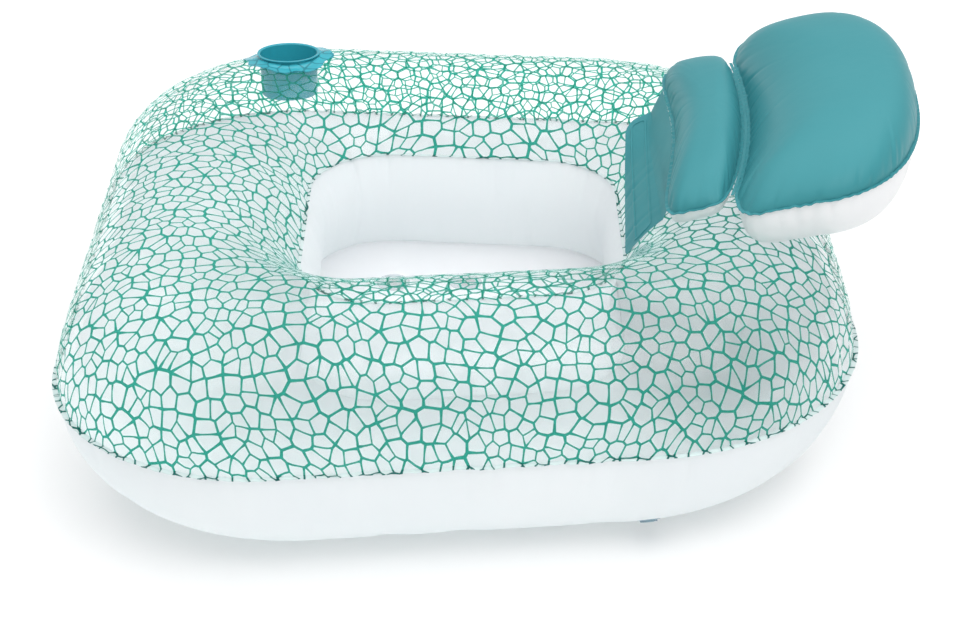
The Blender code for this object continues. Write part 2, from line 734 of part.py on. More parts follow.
def make_chamber(prefix, pivot, plan, seam_height, powers, crowns, crown_power, ring_tree):
    """A chamber of the backrest: its teal upper film, its white lower film and the weld between them."""
    units = even_stations(plan, powers)
    edge = WELD_THICKNESS / 2 + END_GAP
    upper, lower = [], []
    for step in range(CROWN_STEPS + 1):
        shrink = math.cos(math.pi / 2 * step / CROWN_STEPS) if step < CROWN_STEPS else 0.0
        swell = math.sqrt(1 - shrink ** crown_power)
        high_row, low_row = [], []
        for a, b in units if shrink else units[:1]:
            x, y = plan(a, b, shrink)
            high_row.append(Vector((x, y, seam_height(x, y) + edge + crowns[0] * swell)))
            under = Vector((x, y, seam_height(x, y) - edge - crowns[1] * swell))
            low_row.append(pressed(under, ring_tree))
        upper.append(high_row)
        lower.insert(0, low_row)
    top = add_object(f"{prefix}_top_sheet", loft(f"{prefix}_top_sheet", upper), TEAL_VINYL, PART)
    attach(add_film(top, FILM), pivot, BACKREST)
    below = loft(f"{prefix}_bottom_sheet", lower)
    bottom = add_object(f"{prefix}_bottom_sheet", below, WHITE_VINYL, PART)
    attach(add_film(bottom, FILM), pivot, BACKREST)

    outline = [Vector(plan(a, b, 1.0)) for a, b in units]
    sides = []
    for distance in (CUSHION_LIP, -WELD_INSIDE):
        side = widened(outline, distance)
        sides.append([Vector((point.x, point.y, seam_height(point.x, point.y))) for point in side])
    seam = add_object(f"{prefix}_seam", loft(f"{prefix}_seam", sides), TEAL_VINYL, PART)
    attach(add_film(seam, WELD_THICKNESS, 0.0), pivot, BACKREST)
    return bottom, below


def pressed(point, ring_tree):
    """A point of a chamber's underside, moved out to where the ring carries it."""
    here = BACKREST @ point
    surface, normal, _, _ = ring_tree.find_nearest(here)
    if (here - surface).dot(normal) > REST_LIFT:
        return point
    return BACKREST.inverted() @ (surface + normal * REST_LIFT)


def front_point(outline, y):
    """Where a closed outline's -X side passes a place along Y."""
    passing = []
    for start, end in zip(outline, outline[1:] + outline[:1]):
        if min(start.y, end.y) <= y <= max(start.y, end.y) and start.y != end.y:
            passing.append(start.lerp(end, (y - start.y) / (end.y - start.y)))
    return min(passing, key=lambda point: point.x)


def make_web(pivot, columns, fold_height):
    """The thin web from the fold line to the front of the lumbar chamber."""
    units = even_stations(lumbar_place, (LUMBAR_FRONT_POWER, LUMBAR_CREASE_POWER))
    outline = widened([Vector(lumbar_place(a, b, 1.0)) for a, b in units], CUSHION_LIP + WEB_GAP)
    fold = [Vector((HINGE_X + HINGE_GAP / 2, y, fold_height)) for y in columns]
    far = []
    for y in columns:
        front = front_point(outline, (y - FLAP_MIDDLE) / FLAP_HALF * WEB_HALF)
        far.append(BACKREST @ Vector((front.x, front.y, lumbar_seam(front.x, front.y))))
    rows = [[start.lerp(end, share) for start, end in zip(fold, far)] for share in WEB_SHARES]
    web = add_object("backrest_web", loft("backrest_web", rows, closed=False), TEAL_VINYL, PART)
    attach(add_film(web, FILM, 1.0), pivot)


def make_crease(pivot):
    """The flat weld between the lumbar chamber and the pillow, where the backrest folds."""
    stations = [CREASE_HALF * (2 * step / CREASE_STEPS - 1) for step in range(CREASE_STEPS + 1)]
    inner = [(crease_line(y) - CREASE_WIDTH / 2, y) for y in stations]
    outer = [(crease_line(y) - CREASE_GAP / 2, y) for y in reversed(stations)]
    crease = flat_plate("backrest_crease_weld", [outer + inner], WELD_THICKNESS, TEAL_VINYL)
    attach(crease, pivot, BACKREST @ Matrix.Translation((0.0, 0.0, CREASE_HEIGHT)))


def ring_valve_place(lower):
    """Where the ring's valve sits: low on the near side of the tube, facing out and down."""
    share = share_at(RING_VALVE_ANGLE)
    y = -half_width(RING_VALVE_X) + share * SIDE_TUBE
    outward = Vector((0.0, -math.cos(RING_VALVE_ANGLE), -math.sin(RING_VALVE_ANGLE)))
    origin = Vector((RING_VALVE_X, y, bottom_height(RING_VALVE_ANGLE))) + outward * OVERRUN
    return frame_on(tree_of(loft("valve_guide", lower)), origin, -outward, Vector((0.0, 1.0, 0.0)))


def centre_on_ground():
    """Moves the whole chair so that the origin lies under the middle of its length."""
    bpy.context.view_layer.update()
    graph = bpy.context.evaluated_depsgraph_get()
    reach = []
    for item in PART.objects:
        solid = item.evaluated_get(graph)
        mesh = solid.to_mesh()
        reach += [(solid.matrix_world @ corner.co).x for corner in mesh.vertices]
        solid.to_mesh_clear()
    CHAIR.location.x = -(min(reach) + max(reach)) / 2


def main():
    """Builds the ring and what it carries, then the backrest on its two folds."""
    top, bottom, rows, lower = make_ring()
    ring_tree = tree_of(loft("ring_guide", rows))
    make_cup_holder(top, rows)
    make_valve("ring_valve", CHAIR, bottom, ring_valve_place(lower), VALVE_VINYL)
    columns, fold_height = make_flap(ring_tree)

    fold = Matrix.Translation((HINGE_X, FLAP_MIDDLE, fold_height))
    hinge = add_pivot("backrest_hinge", CHAIR, fold)
    crease = BACKREST @ Matrix.Translation((0.0, 0.0, CREASE_HEIGHT))
    pillow_hinge = add_pivot("pillow_hinge", hinge, crease)

    make_web(hinge, columns, fold_height)
    make_chamber(
        "lumbar", hinge, lumbar_place, lumbar_seam, (LUMBAR_FRONT_POWER, LUMBAR_CREASE_POWER),
        (LUMBAR_TOP_CROWN, LUMBAR_BOTTOM_CROWN), LUMBAR_CROWN_POWER, ring_tree,
    )
    make_crease(hinge)
    pillow_bottom, under = make_chamber(
        "pillow", pillow_hinge, pillow_place, pillow_seam, (PILLOW_INNER_POWER, PILLOW_OUTER_POWER),
        (PILLOW_TOP_CROWN, PILLOW_BOTTOM_CROWN), PILLOW_CROWN_POWER, ring_tree,
    )
    x, y = pillow_place(PILLOW_VALVE_SHARE, 0.0, 1.0)
    valve_seat = frame_on(tree_of(under), Vector((x, y, 0.0)), Vector((0.0, 0.0, 1.0)), Vector((0.0, 1.0, 0.0)))
    make_valve("pillow_valve", pillow_hinge, pillow_bottom, BACKREST @ valve_seat, VALVE_VINYL)
    centre_on_ground()


clear_scene()
PLACES = {}
PART = new_collection(COLLECTION_NAME)
CUTTERS = new_collection("cutters")
CLEAR_VINYL = vinyl("clear_printed_vinyl", (0.55, 0.85, 0.80), 0.15, 0.6)
WHITE_VINYL = vinyl("white_vinyl", (0.85, 0.87, 0.90), 0.3)
TEAL_VINYL = vinyl("teal_vinyl", (0.10, 0.40, 0.42), 0.35)
CUP_VINYL = vinyl("cup_vinyl", (0.05, 0.45, 0.52), 0.2, 0.8)
VALVE_VINYL = vinyl("valve_vinyl", (0.75, 0.85, 0.90), 0.25, 0.8)
SEAM_OUTLINE = rounded_outline(
    -RING_LENGTH / 2, RING_LENGTH / 2, FOOT_WIDTH / 2, BACK_WIDTH / 2, FOOT_CORNER, BACK_CORNER
)
RIM_OUTLINE = rim_outline()
CHAIR = add_pivot("chair", None, Matrix())
BACKREST = Matrix.Translation((CREASE_X, CREASE_SHIFT, 0.0)) @ Matrix.Rotation(BACKREST_TURN, 4, "Z")
main()
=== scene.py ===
"""Looks of the inflatable pool chair: printed clear film, white film, teal backrest, cup and valves.

Lengths are metres and +Z is up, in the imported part's frame.
"""

import math

import bpy
import numpy as np
from mathutils import Matrix, Vector
from mathutils.bvhtree import BVHTree


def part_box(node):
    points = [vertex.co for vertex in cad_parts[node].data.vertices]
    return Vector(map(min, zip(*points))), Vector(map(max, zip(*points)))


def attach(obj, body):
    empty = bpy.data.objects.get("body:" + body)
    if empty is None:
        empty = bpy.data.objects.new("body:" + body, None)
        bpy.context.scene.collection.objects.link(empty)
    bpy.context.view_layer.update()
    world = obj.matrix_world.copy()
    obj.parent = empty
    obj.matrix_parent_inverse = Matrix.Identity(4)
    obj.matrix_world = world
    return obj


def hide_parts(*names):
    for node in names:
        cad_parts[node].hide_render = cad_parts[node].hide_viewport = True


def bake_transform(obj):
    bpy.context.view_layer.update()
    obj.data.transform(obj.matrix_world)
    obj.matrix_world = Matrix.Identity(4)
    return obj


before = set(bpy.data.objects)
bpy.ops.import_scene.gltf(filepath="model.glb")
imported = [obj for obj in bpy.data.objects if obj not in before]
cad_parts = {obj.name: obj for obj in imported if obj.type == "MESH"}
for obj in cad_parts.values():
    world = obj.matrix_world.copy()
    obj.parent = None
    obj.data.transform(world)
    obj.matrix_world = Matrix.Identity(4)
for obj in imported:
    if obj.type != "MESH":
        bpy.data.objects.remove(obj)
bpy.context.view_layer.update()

# Vinyl film and its welds, which the edges of the films are tucked into
FILM = 0.0004
WELD = 0.0010
WELD_INSIDE = 0.0020
WELD_TUCK = 0.0002
FLOOR_TUCK = 0.0010
CRISP = math.radians(60)

# Ring, as in the part's source
RING_LENGTH = 1.080
FOOT_WIDTH = 1.164
BACK_WIDTH = 0.959
FOOT_CORNER = 0.276
BACK_CORNER = 0.324
OUTER_LIP = 0.0055
SEAM_HEIGHT = 0.175
CREST_HEIGHT = 0.343
RIM_ANGLE = math.radians(155)
TOP_ANGLES = np.linspace(0.0, 1.0, 49) * RIM_ANGLE
FOOT_TUBE = 0.314
BACK_TUBE = 0.310
SIDE_TUBE = 0.305
REST_DEPTH = 0.0005
WELL_CORNER = 0.120
WALL_BULGE = 0.022
RIM_LIP = 0.0030
FLOOR_HEIGHT = 0.095
FLOOR_LIP = 0.0060
FLOOR_SWAY = 0.0006

# Creases that run in from a weld: their pitch along it, then one crease's width, reach and depth
TOP_CREASES = (0.030, 0.007, 0.022, 0.0026)
TOP_FOLDS = (0.090, 0.016, 0.075, 0.0022)
RIM_CREASES = (0.026, 0.006, 0.014, 0.0014)
LOWER_CREASES = (0.050, 0.007, 0.022, 0.0010)
LOWER_FOLDS = (0.180, 0.030, 0.110, 0.0016)
WALL_TOP_CREASES = (0.030, 0.007, 0.018, 0.0016)
WALL_FOOT_CREASES = (0.045, 0.010, 0.030, 0.0018)
CUSHION_CREASES = (0.024, 0.0045, 0.010, 0.0016)
CUSHION_FOLDS = (0.075, 0.013, 0.018, 0.0008)

# Waves of a ruffled weld: shortest, longest and share of the height; then how far they reach into a film
SEAM_WAVES = ((0.018, 0.032, 0.7), (0.05, 0.11, 0.6))
RIM_WAVES = ((0.014, 0.026, 0.7), (0.04, 0.09, 0.6))
CUSHION_WAVES = ((0.012, 0.022, 0.8), (0.03, 0.06, 0.6))
SEAM_WAVE_HEIGHT = 0.0016
RIM_WAVE_HEIGHT = 0.0010
LUMBAR_WAVE_HEIGHT = 0.0010
PILLOW_WAVE_HEIGHT = 0.0013
SEAM_WAVE_REACH = 0.020
RIM_WAVE_REACH = 0.014
WALL_WAVE_REACH = 0.012
CUSHION_WAVE_REACH = 0.010

# Cup holder
CUP_FROM_FOOT = 0.268
CUP_ANGLE = math.radians(90)
CUP_LEAN = math.radians(5)
CUP_RADIUS = 0.0455
CUP_BASE_RADIUS = 0.0440
CUP_WALL = 0.0012
CUP_DEPTH = 0.060
CUP_LIP_RADIUS = 0.0495
CUP_LIP_RISE = 0.0042
CUP_LIP_ROLL = 0.0035
CUP_ROUNDING = 0.0016
COLLAR_RADIUS = 0.0680
COLLAR_FOOT = 0.0580
COLLAR_CLIMB = 0.0020
COLLAR_THICKNESS = 0.0008
COLLAR_LIFT = 0.0006
COLLAR_FLUTTER = 0.0016
COLLAR_CLEARANCE = 0.0006
COLLAR_LOBES = ((8, 0.0028, 0.6), (13, 0.0012, 2.0))
FIT_GAP = 0.0003
ABOVE_CUP = 0.03
ABOVE_RING = 0.05

# Drains in the seat floor
DRAIN_RADIUS = 0.0125
DRAIN_SPACING = 0.109
DRAIN_X = -0.049
DRAIN_Y = 0.100

# Flap and web
FLAP_REACH = 0.046
FLAP_SLANT = 0.009
FLAP_HALF = 0.160
FLAP_MIDDLE = 0.045
FLAP_CORNER = 0.020
FLAP_LIFT = 0.0012
FLAP_RAMP = 0.0060
BEAD_INSET = 0.011
BEAD_SLANT = 0.006
BEAD_WIDTH = 0.0028
BEAD_RISE = 0.0009
BEAD_SINK = 0.0002
BEAD_FILM = 0.0003
WEB_HALF = 0.185
WEB_RIPPLE = 0.0007
WEB_FOLDS = ((34, 7, 0.0, 0.25, 0.22, 1.0), (23, -5, 1.0, 0.55, 0.35, 0.5))
WEB_GAP = 0.0006

# Backrest
HINGE_FROM_RIM = 0.055
CREASE_FROM_HINGE = 0.0985
CREASE_SHIFT = 0.0105
CREASE_RISE = 0.052
BACKREST_TURN = -0.10
CREASE_WIDTH = 0.0070
CREASE_GAP = 0.0010
CREASE_HALF = 0.225
CREASE_BOW = 0.020
CREASE_RIPPLE = 0.0005
CUSHION_LIP = 0.0040
LUMBAR_HALF = 0.242
LUMBAR_MIDDLE_WIDTH = 0.072
LUMBAR_NEAR_WIDTH = 0.090
LUMBAR_FAR_WIDTH = 0.110
LUMBAR_FRONT_POWER = 4.0
LUMBAR_CREASE_POWER = 8.0
LUMBAR_DROP = 0.030
LUMBAR_TOP_CROWN = 0.050
LUMBAR_BOTTOM_CROWN = 0.055
LUMBAR_CROWN_POWER = 2.6
PILLOW_HALF = 0.297
PILLOW_INNER = 0.103
PILLOW_OUTER = 0.143
PILLOW_INNER_POWER = 9.0
PILLOW_OUTER_POWER = 2.2
PILLOW_RISE = 0.047
PILLOW_TOP_CROWN = 0.062
PILLOW_BOTTOM_CROWN = 0.112
PILLOW_CROWN_SHIFT = 0.070
PILLOW_CROWN_POWER = 3.2
CREASE_SLOPE = 0.22
REST_LIFT = 0.0030

RING_MIDDLE = Vector(sum(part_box("ring_top_sheet"), Vector()) / 2)
ORIGIN_X = RING_MIDDLE.x
RIM_LOW_X = -RING_LENGTH / 2 + FOOT_TUBE
RIM_HIGH_X = RING_LENGTH / 2 - BACK_TUBE
HINGE_X = RIM_HIGH_X + HINGE_FROM_RIM
CREASE_X = HINGE_X + CREASE_FROM_HINGE
CREASE_HEIGHT = CREST_HEIGHT + CREASE_RISE
BACKREST = (
    Matrix.Translation((ORIGIN_X + CREASE_X, CREASE_SHIFT, 0.0)) @ Matrix.Rotation(BACKREST_TURN, 4, "Z")
)
TOP_EDGE = SEAM_HEIGHT + WELD / 2 - WELD_TUCK
BOTTOM_EDGE = SEAM_HEIGHT - WELD / 2 + WELD_TUCK

dice = np.random.default_rng(7)


# ---- Working with bpy.ops ----

def only(piece):
    """Selects one piece and nothing else."""
    bpy.ops.object.select_all(action="DESELECT")
    piece.select_set(True)
    bpy.context.view_layer.objects.active = piece


def finish_modifiers(piece):
    """Applies a piece's modifiers in order."""
    only(piece)
    for modifier in list(piece.modifiers):
        bpy.ops.object.modifier_apply(modifier=modifier.name)


def bent_grid(name, points, flat=None):
    """A flat grid bent onto points[row, column], its closing edge and poles merged; flat is its UV map."""
    rows, columns = points.shape[0] - 1, points.shape[1] - 1
    bpy.ops.object.select_all(action="DESELECT")
    bpy.ops.mesh.primitive_grid_add(x_subdivisions=columns, y_subdivisions=rows, size=2)
    piece = bpy.context.object
    piece.name = piece.data.name = name
    mesh = piece.data
    co = np.zeros(len(mesh.vertices) * 3)
    mesh.vertices.foreach_get("co", co)
    co = co.reshape(-1, 3)
    column = np.rint((co[:, 0] + 1) / 2 * columns).astype(int)
    row = np.rint((co[:, 1] + 1) / 2 * rows).astype(int)
    mesh.vertices.foreach_set("co", points[row, column].ravel())
    if flat is not None:
        corner = np.zeros(len(mesh.loops), int)
        mesh.loops.foreach_get("vertex_index", corner)
        mesh.uv_layers[0].data.foreach_set("uv", flat[row[corner], column[corner]].ravel())
    bpy.ops.object.mode_set(mode="EDIT")
    bpy.ops.mesh.select_all(action="SELECT")
    bpy.ops.mesh.remove_doubles(threshold=0.00001)
    bpy.ops.object.mode_set(mode="OBJECT")
    mesh.update()
    bpy.ops.object.shade_smooth()
    return piece


def thickened(piece, thickness, offset=-1.0):
    """Gives an open sheet its wall, with a crisp rim."""
    wall = piece.modifiers.new("wall", "SOLIDIFY")
    wall.thickness = thickness
    wall.offset = offset
    wall.use_even_offset = False
    finish_modifiers(piece)
    bpy.ops.object.shade_smooth_by_angle(angle=CRISP)
    return piece


def finished(piece, body, slot, material, *nodes):
    """Gives a piece its material and its body if it has just one, and hides the CAD nodes that it stands for.
    """
    piece.data.materials.clear()
    piece.data.materials.append(material)
    if body:
        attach(piece, body)
    if nodes:
        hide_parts(*nodes)
    return piece


def tree_of(piece):
    """A surface that points are seated on."""
    return BVHTree.FromObject(piece, bpy.context.evaluated_depsgraph_get())


# ---- Shapes of blown-up film ----

def wrapped(values):
    """Repeats the first column at the end, where a sheet's ends meet."""
    return np.concatenate([values, values[:, :1]], axis=1)


def normals(points):
    """Directions out of a closed sheet of points[row, column]."""
    core = points[:, :-1]
    along = np.roll(core, -1, axis=1) - np.roll(core, 1, axis=1)
    across = np.gradient(core, axis=0)
    out = np.cross(along, across)
    length = np.linalg.norm(out, axis=2, keepdims=True)
    return wrapped(out / np.maximum(length, 1e-12))


def run_along(loop):
    """Distance along a closed outline to each of its points, and the whole length."""
    steps = np.linalg.norm(np.roll(loop, -1, axis=0) - loop, axis=1)
    return np.concatenate([[0.0], np.cumsum(steps)[:-1]]), steps.sum()


def puckers(along, whole, away, pitch, width, reach, depth):
    """Depth of the creases that run in from a weld, no two alike: along it by column, away from it by row."""
    count = int(whole / pitch)
    places = (np.arange(count) + dice.uniform(-0.35, 0.35, count)) * whole / count
    widths = width * dice.uniform(0.6, 1.5, count)
    reaches = reach * dice.uniform(0.4, 1.6, count)
    depths = depth * dice.uniform(0.3, 1.4, count)
    gap = np.abs(along[None, :] - places[:, None])
    gap = np.minimum(gap, whole - gap)
    across = np.exp(-(gap / widths[:, None]) ** 2)
    share = away[None, :] / reaches[:, None]
    inward = (share + 0.12) * np.exp(1 - share) * depths[:, None]
    return inward.T @ across


def ruffle(along, whole, waves, height):
    """Up and down of a weld that draws too much film together, by column."""
    total = np.zeros_like(along)
    for low, high, share in waves:
        for _ in range(3):
            number = int(dice.integers(int(whole / high), int(whole / low)))
            swell = 1 + 0.6 * np.sin(2 * math.pi * along / whole * dice.integers(3, 9) + dice.uniform(0, 6.3))
            total += share * swell * np.sin(2 * math.pi * along / whole * number + dice.uniform(0, 6.3))
    return height * total / 3


def rounded_outline(low_x, high_x, low_half, high_half, low_radius, high_radius, corner, side):
    """A four-sided outline with round corners, narrower at one end, counter-clockwise."""
    slant = math.atan2(low_half - high_half, high_x - low_x)
    square = math.pi / 2
    low_y = low_half - low_radius * (1 + math.sin(slant)) / math.cos(slant)
    high_y = high_half - high_radius * (1 - math.sin(slant)) / math.cos(slant)
    corners = (
        (low_x + low_radius, -low_y, low_radius, -math.pi, slant - square),
        (high_x - high_radius, -high_y, high_radius, slant - square, 0.0),
        (high_x - high_radius, high_y, high_radius, 0.0, square - slant),
        (low_x + low_radius, low_y, low_radius, square - slant, math.pi),
    )
    arcs = []
    for x, y, radius, start, end in corners:
        turn = np.linspace(start, end, corner + 1)
        arcs.append(np.stack([x + radius * np.cos(turn), y + radius * np.sin(turn)], axis=1))
    outline = []
    for arc, following in zip(arcs, arcs[1:] + arcs[:1]):
        step = np.arange(1, side)[:, None] / side
        outline += [arc, arc[-1] + (following[0] - arc[-1]) * step]
    return np.concatenate(outline)


def widened(loop, distance):
    """An outline moved outwards in plan."""
    along = np.roll(loop, -1, axis=0) - np.roll(loop, 1, axis=0)
    along = along / np.linalg.norm(along, axis=1, keepdims=True)
    return loop + np.stack([along[:, 1], -along[:, 0]], axis=1) * distance


def half_width(x):
    """Half of the ring's width at its outer seam, corners left square."""
    share = (x + RING_LENGTH / 2) / RING_LENGTH
    return (FOOT_WIDTH + (BACK_WIDTH - FOOT_WIDTH) * share) / 2


CORNER_STEPS = 88
SIDE_STEPS = 96
SEAM_LOOP = rounded_outline(
    -RING_LENGTH / 2, RING_LENGTH / 2, FOOT_WIDTH / 2, BACK_WIDTH / 2, FOOT_CORNER, BACK_CORNER,
    CORNER_STEPS, SIDE_STEPS,
) + np.array([ORIGIN_X, 0.0])
RIM_LOOP = rounded_outline(
    RIM_LOW_X, RIM_HIGH_X, half_width(RIM_LOW_X) - SIDE_TUBE, half_width(RIM_HIGH_X) - SIDE_TUBE,
    WELL_CORNER, WELL_CORNER, CORNER_STEPS, SIDE_STEPS,
) + np.array([ORIGIN_X, 0.0])
SEAM_RUN, SEAM_WHOLE = run_along(SEAM_LOOP)
RIM_RUN, RIM_WHOLE = run_along(RIM_LOOP)
SEAM_RUFFLE = ruffle(SEAM_RUN, SEAM_WHOLE, SEAM_WAVES, SEAM_WAVE_HEIGHT)
RIM_RUFFLE = ruffle(RIM_RUN, RIM_WHOLE, RIM_WAVES, RIM_WAVE_HEIGHT)


def share_at(angle):
    """How far across the tube a section angle lies, from the outer seam at 0 to the rim at 1."""
    return (1 - np.cos(angle)) / (1 - math.cos(RIM_ANGLE))


def ring_points(angles, heights):
    """The ring's surface by section angle, one row each, as points[row, column]."""
    share = share_at(angles)[:, None, None]
    plan = SEAM_LOOP[None] + (RIM_LOOP - SEAM_LOOP)[None] * share
    tall = np.broadcast_to(heights[:, None, None], plan.shape[:2] + (1,))
    return wrapped(np.concatenate([plan, tall], axis=2))


def row_runs(points):
    """Mean distance from the first row to each row."""
    steps = np.linalg.norm(np.diff(points, axis=0), axis=2).mean(axis=1)
    return np.concatenate([[0.0], np.cumsum(steps)])


def fading(away, reach):
    """From 1 at a weld to 0 away from it."""
    return np.exp(-(away / reach) ** 2)


def top_heights(angles):
    """Heights of the clear film by section angle."""
    return TOP_EDGE + (CREST_HEIGHT - TOP_EDGE) * np.sin(angles)


def print_place(angles):
    """Where each point of the clear film lay on the flat printed sheet, by row and column."""
    points = ring_points(angles, top_heights(angles))[:, :-1]
    steps = np.linalg.norm(np.diff(points, axis=0), axis=2)
    runs = np.concatenate([np.zeros_like(steps[:1]), np.cumsum(steps, axis=0)])
    crest = int(np.abs(angles - math.pi / 2).argmin())
    inward = RIM_LOOP - SEAM_LOOP
    inward = inward / np.linalg.norm(inward, axis=1, keepdims=True)
    return wrapped(points[crest, :, :2][None] + inward[None] * (runs - runs[crest])[..., None])


def make_clear_film():
    """The ring's clear printed upper film."""
    points = ring_points(TOP_ANGLES, top_heights(TOP_ANGLES))
    outward = normals(points)
    away = row_runs(points)
    back = away[-1] - away
    sunk = puckers(SEAM_RUN, SEAM_WHOLE, away, *TOP_CREASES)
    sunk += puckers(SEAM_RUN, SEAM_WHOLE, away, *TOP_FOLDS)
    sunk += puckers(RIM_RUN, RIM_WHOLE, back, *RIM_CREASES)
    points = points - outward * wrapped(sunk)[..., None]
    points[..., 2] += wrapped(fading(away, SEAM_WAVE_REACH)[:, None] * SEAM_RUFFLE[None])
    points[..., 2] += wrapped(fading(back, RIM_WAVE_REACH)[:, None] * RIM_RUFFLE[None])
    return bent_grid("ring_clear_film", points, print_place(TOP_ANGLES))


def bottom_section(count):
    """Section angles and heights of the lower film, from the floor weld out to the outer seam."""
    end_height = FLOOR_HEIGHT - WELD / 2 + WELD_TUCK
    end = math.pi - math.asin((BOTTOM_EDGE - end_height) / (BOTTOM_EDGE + REST_DEPTH))
    angles = np.linspace(end, 0.0, count)
    heights = np.maximum(0.0, BOTTOM_EDGE - (BOTTOM_EDGE + REST_DEPTH) * np.sin(angles))
    return angles, heights


def make_white_film():
    """The ring's white lower film, pressed flat where the chair stands."""
    angles, heights = bottom_section(45)
    points = ring_points(angles, heights)
    outward = normals(points)
    away = row_runs(points)
    back = away[-1] - away
    sunk = puckers(SEAM_RUN, SEAM_WHOLE, back, *LOWER_CREASES)
    sunk += puckers(SEAM_RUN, SEAM_WHOLE, back, *LOWER_FOLDS)
    points = points - outward * wrapped(sunk)[..., None]
    points[..., 2] += wrapped(fading(back, SEAM_WAVE_REACH)[:, None] * SEAM_RUFFLE[None])
    points[..., 2] = np.maximum(points[..., 2], 0.0)
    return bent_grid("ring_white_film", points)


def floor_loop():
    """The outline where the seat floor is welded in."""
    angles, _ = bottom_section(3)
    return SEAM_LOOP + (RIM_LOOP - SEAM_LOOP) * share_at(angles[0])


def make_well_wall():
    """The white wall of the seat well, blown inwards."""
    rim_height = TOP_EDGE + (CREST_HEIGHT - TOP_EDGE) * math.sin(RIM_ANGLE) + WELD_TUCK - WELD / 2
    top = rim_height - WELD / 2 + WELD_TUCK
    foot = FLOOR_HEIGHT + WELD / 2 - WELD_TUCK
    share = np.linspace(0.0, 1.0, 25)
    ground = floor_loop()
    rows = []
    for part in share:
        outline = RIM_LOOP + (ground - RIM_LOOP) * part
        rows.append(widened(outline, -WALL_BULGE * math.sin(math.pi * part)))
    plan = np.stack(rows)
    tall = np.broadcast_to((top + (foot - top) * share)[:, None, None], plan.shape[:2] + (1,))
    points = wrapped(np.concatenate([plan, tall], axis=2))
    away = row_runs(points)
    back = away[-1] - away
    sunk = puckers(RIM_RUN, RIM_WHOLE, away, *WALL_TOP_CREASES)
    sunk += puckers(RIM_RUN, RIM_WHOLE, back, *WALL_FOOT_CREASES)
    points = points - normals(points) * wrapped(sunk)[..., None]
    points[..., 2] += wrapped(fading(away, WALL_WAVE_REACH)[:, None] * RIM_RUFFLE[None])
    return bent_grid("well_wall_film", points), rim_height


def band(name, loop, outwards, inwards, height, wave, edge=None):
    """A welded lip along an outline, waving with the weld; edge is that outline on the printed sheet."""
    away = np.linspace(outwards, inwards, 4)
    rows = np.stack([widened(loop, d) for d in away])
    tall = np.broadcast_to((height + wave)[None, :, None], rows.shape[:2] + (1,))
    points = wrapped(np.concatenate([rows, tall], axis=2))
    flat = None
    if edge is not None:
        outward = SEAM_LOOP - RIM_LOOP
        outward = outward / np.linalg.norm(outward, axis=1, keepdims=True)
        flat = wrapped(edge[None] + outward[None] * away[:, None, None])
    return thickened(bent_grid(name, points, flat), WELD, 0.0)


def make_floor():
    """The white floor sunk in the ring, with its two drain holes."""
    edge = widened(floor_loop(), FLOOR_TUCK - FLOOR_LIP)
    middle = np.array([ORIGIN_X, 0.0])
    share = np.linspace(0.0, 1.0, 31)[:, None, None]
    plan = edge[None, ::4] + (middle - edge[None, ::4]) * share
    x, y = plan[..., 0], plan[..., 1]
    sway = FLOOR_SWAY * np.sin(38 * x + 9 * y) * np.sin(31 * y - 12 * x + 1.0)
    tall = FLOOR_HEIGHT + sway * np.minimum(1.0, share[..., 0] * 8)
    points = wrapped(np.concatenate([plan, tall[..., None]], axis=2))
    floor = thickened(bent_grid("seat_floor_film", points), FILM, 0.0)
    for side in (-0.5, 0.5):
        place = Matrix.Translation((ORIGIN_X + DRAIN_X + side * DRAIN_SPACING, DRAIN_Y, FLOOR_HEIGHT))
        cut_round_hole(floor, DRAIN_RADIUS, place, 72)
    return floor


# ---- Small pieces that lie on the ring ----

def seated(tree, x, y, lift):
    """A point on the ring's film below x, y, raised off it."""
    point, normal, _, _ = tree.ray_cast(Vector((x, y, CREST_HEIGHT + ABOVE_RING)), Vector((0.0, 0.0, -1.0)))
    return point + normal * lift


def cup_place(tree):
    """The cup's axis, on the tube's crest and leaning a little outwards."""
    x = -RING_LENGTH / 2 + CUP_FROM_FOOT
    y = half_width(x) - share_at(CUP_ANGLE) * SIDE_TUBE
    seat = seated(tree, ORIGIN_X + x, y, 0.0)
    return Matrix.Translation(seat) @ Matrix.Rotation(-CUP_LEAN, 4, "X")


def spun(name, profile, place, steps=144):
    """A round piece from its profile of radius and height."""
    turn = np.linspace(0.0, 2 * math.pi, steps + 1)
    rows = np.array([[(r * math.cos(t), r * math.sin(t), z) for t in turn] for r, z in profile])
    turned = rows @ np.array(place.to_3x3()).T + np.array(place.translation)
    return bent_grid(name, turned)


def rounded_profile(corners, radius, steps=5):
    """A profile with each inner corner rounded."""
    smooth = [corners[0]]
    for before, here, after in zip(corners, corners[1:], corners[2:]):
        a, b, c = Vector(before), Vector(here), Vector(after)
        near = min(radius, (a - b).length * 0.45, (c - b).length * 0.45)
        start, end = b + (a - b).normalized() * near, b + (c - b).normalized() * near
        for step in range(steps + 1):
            t = step / steps
            smooth.append(tuple(start.lerp(b, t).lerp(b.lerp(end, t), t)))
    smooth.append(corners[-1])
    return smooth


def make_cup(tree):
    """The drink holder: a tapered tube with a flat base and a rolled lip."""
    place = cup_place(tree)
    lip, bottom = CUP_LIP_RISE, CUP_WALL - CUP_DEPTH
    inner, base = CUP_RADIUS - CUP_WALL, CUP_BASE_RADIUS - CUP_WALL
    corners = [
        (0.0, bottom), (base, bottom), (inner, lip - CUP_LIP_ROLL), (inner, lip + 0.0012),
        (CUP_LIP_RADIUS - 0.0008, lip + 0.0020), (CUP_LIP_RADIUS, lip), (CUP_RADIUS, lip - 0.0004),
        (CUP_BASE_RADIUS, -CUP_DEPTH), (0.0, -CUP_DEPTH),
    ]
    return spun("drink_holder", rounded_profile(corners, CUP_ROUNDING), place), place


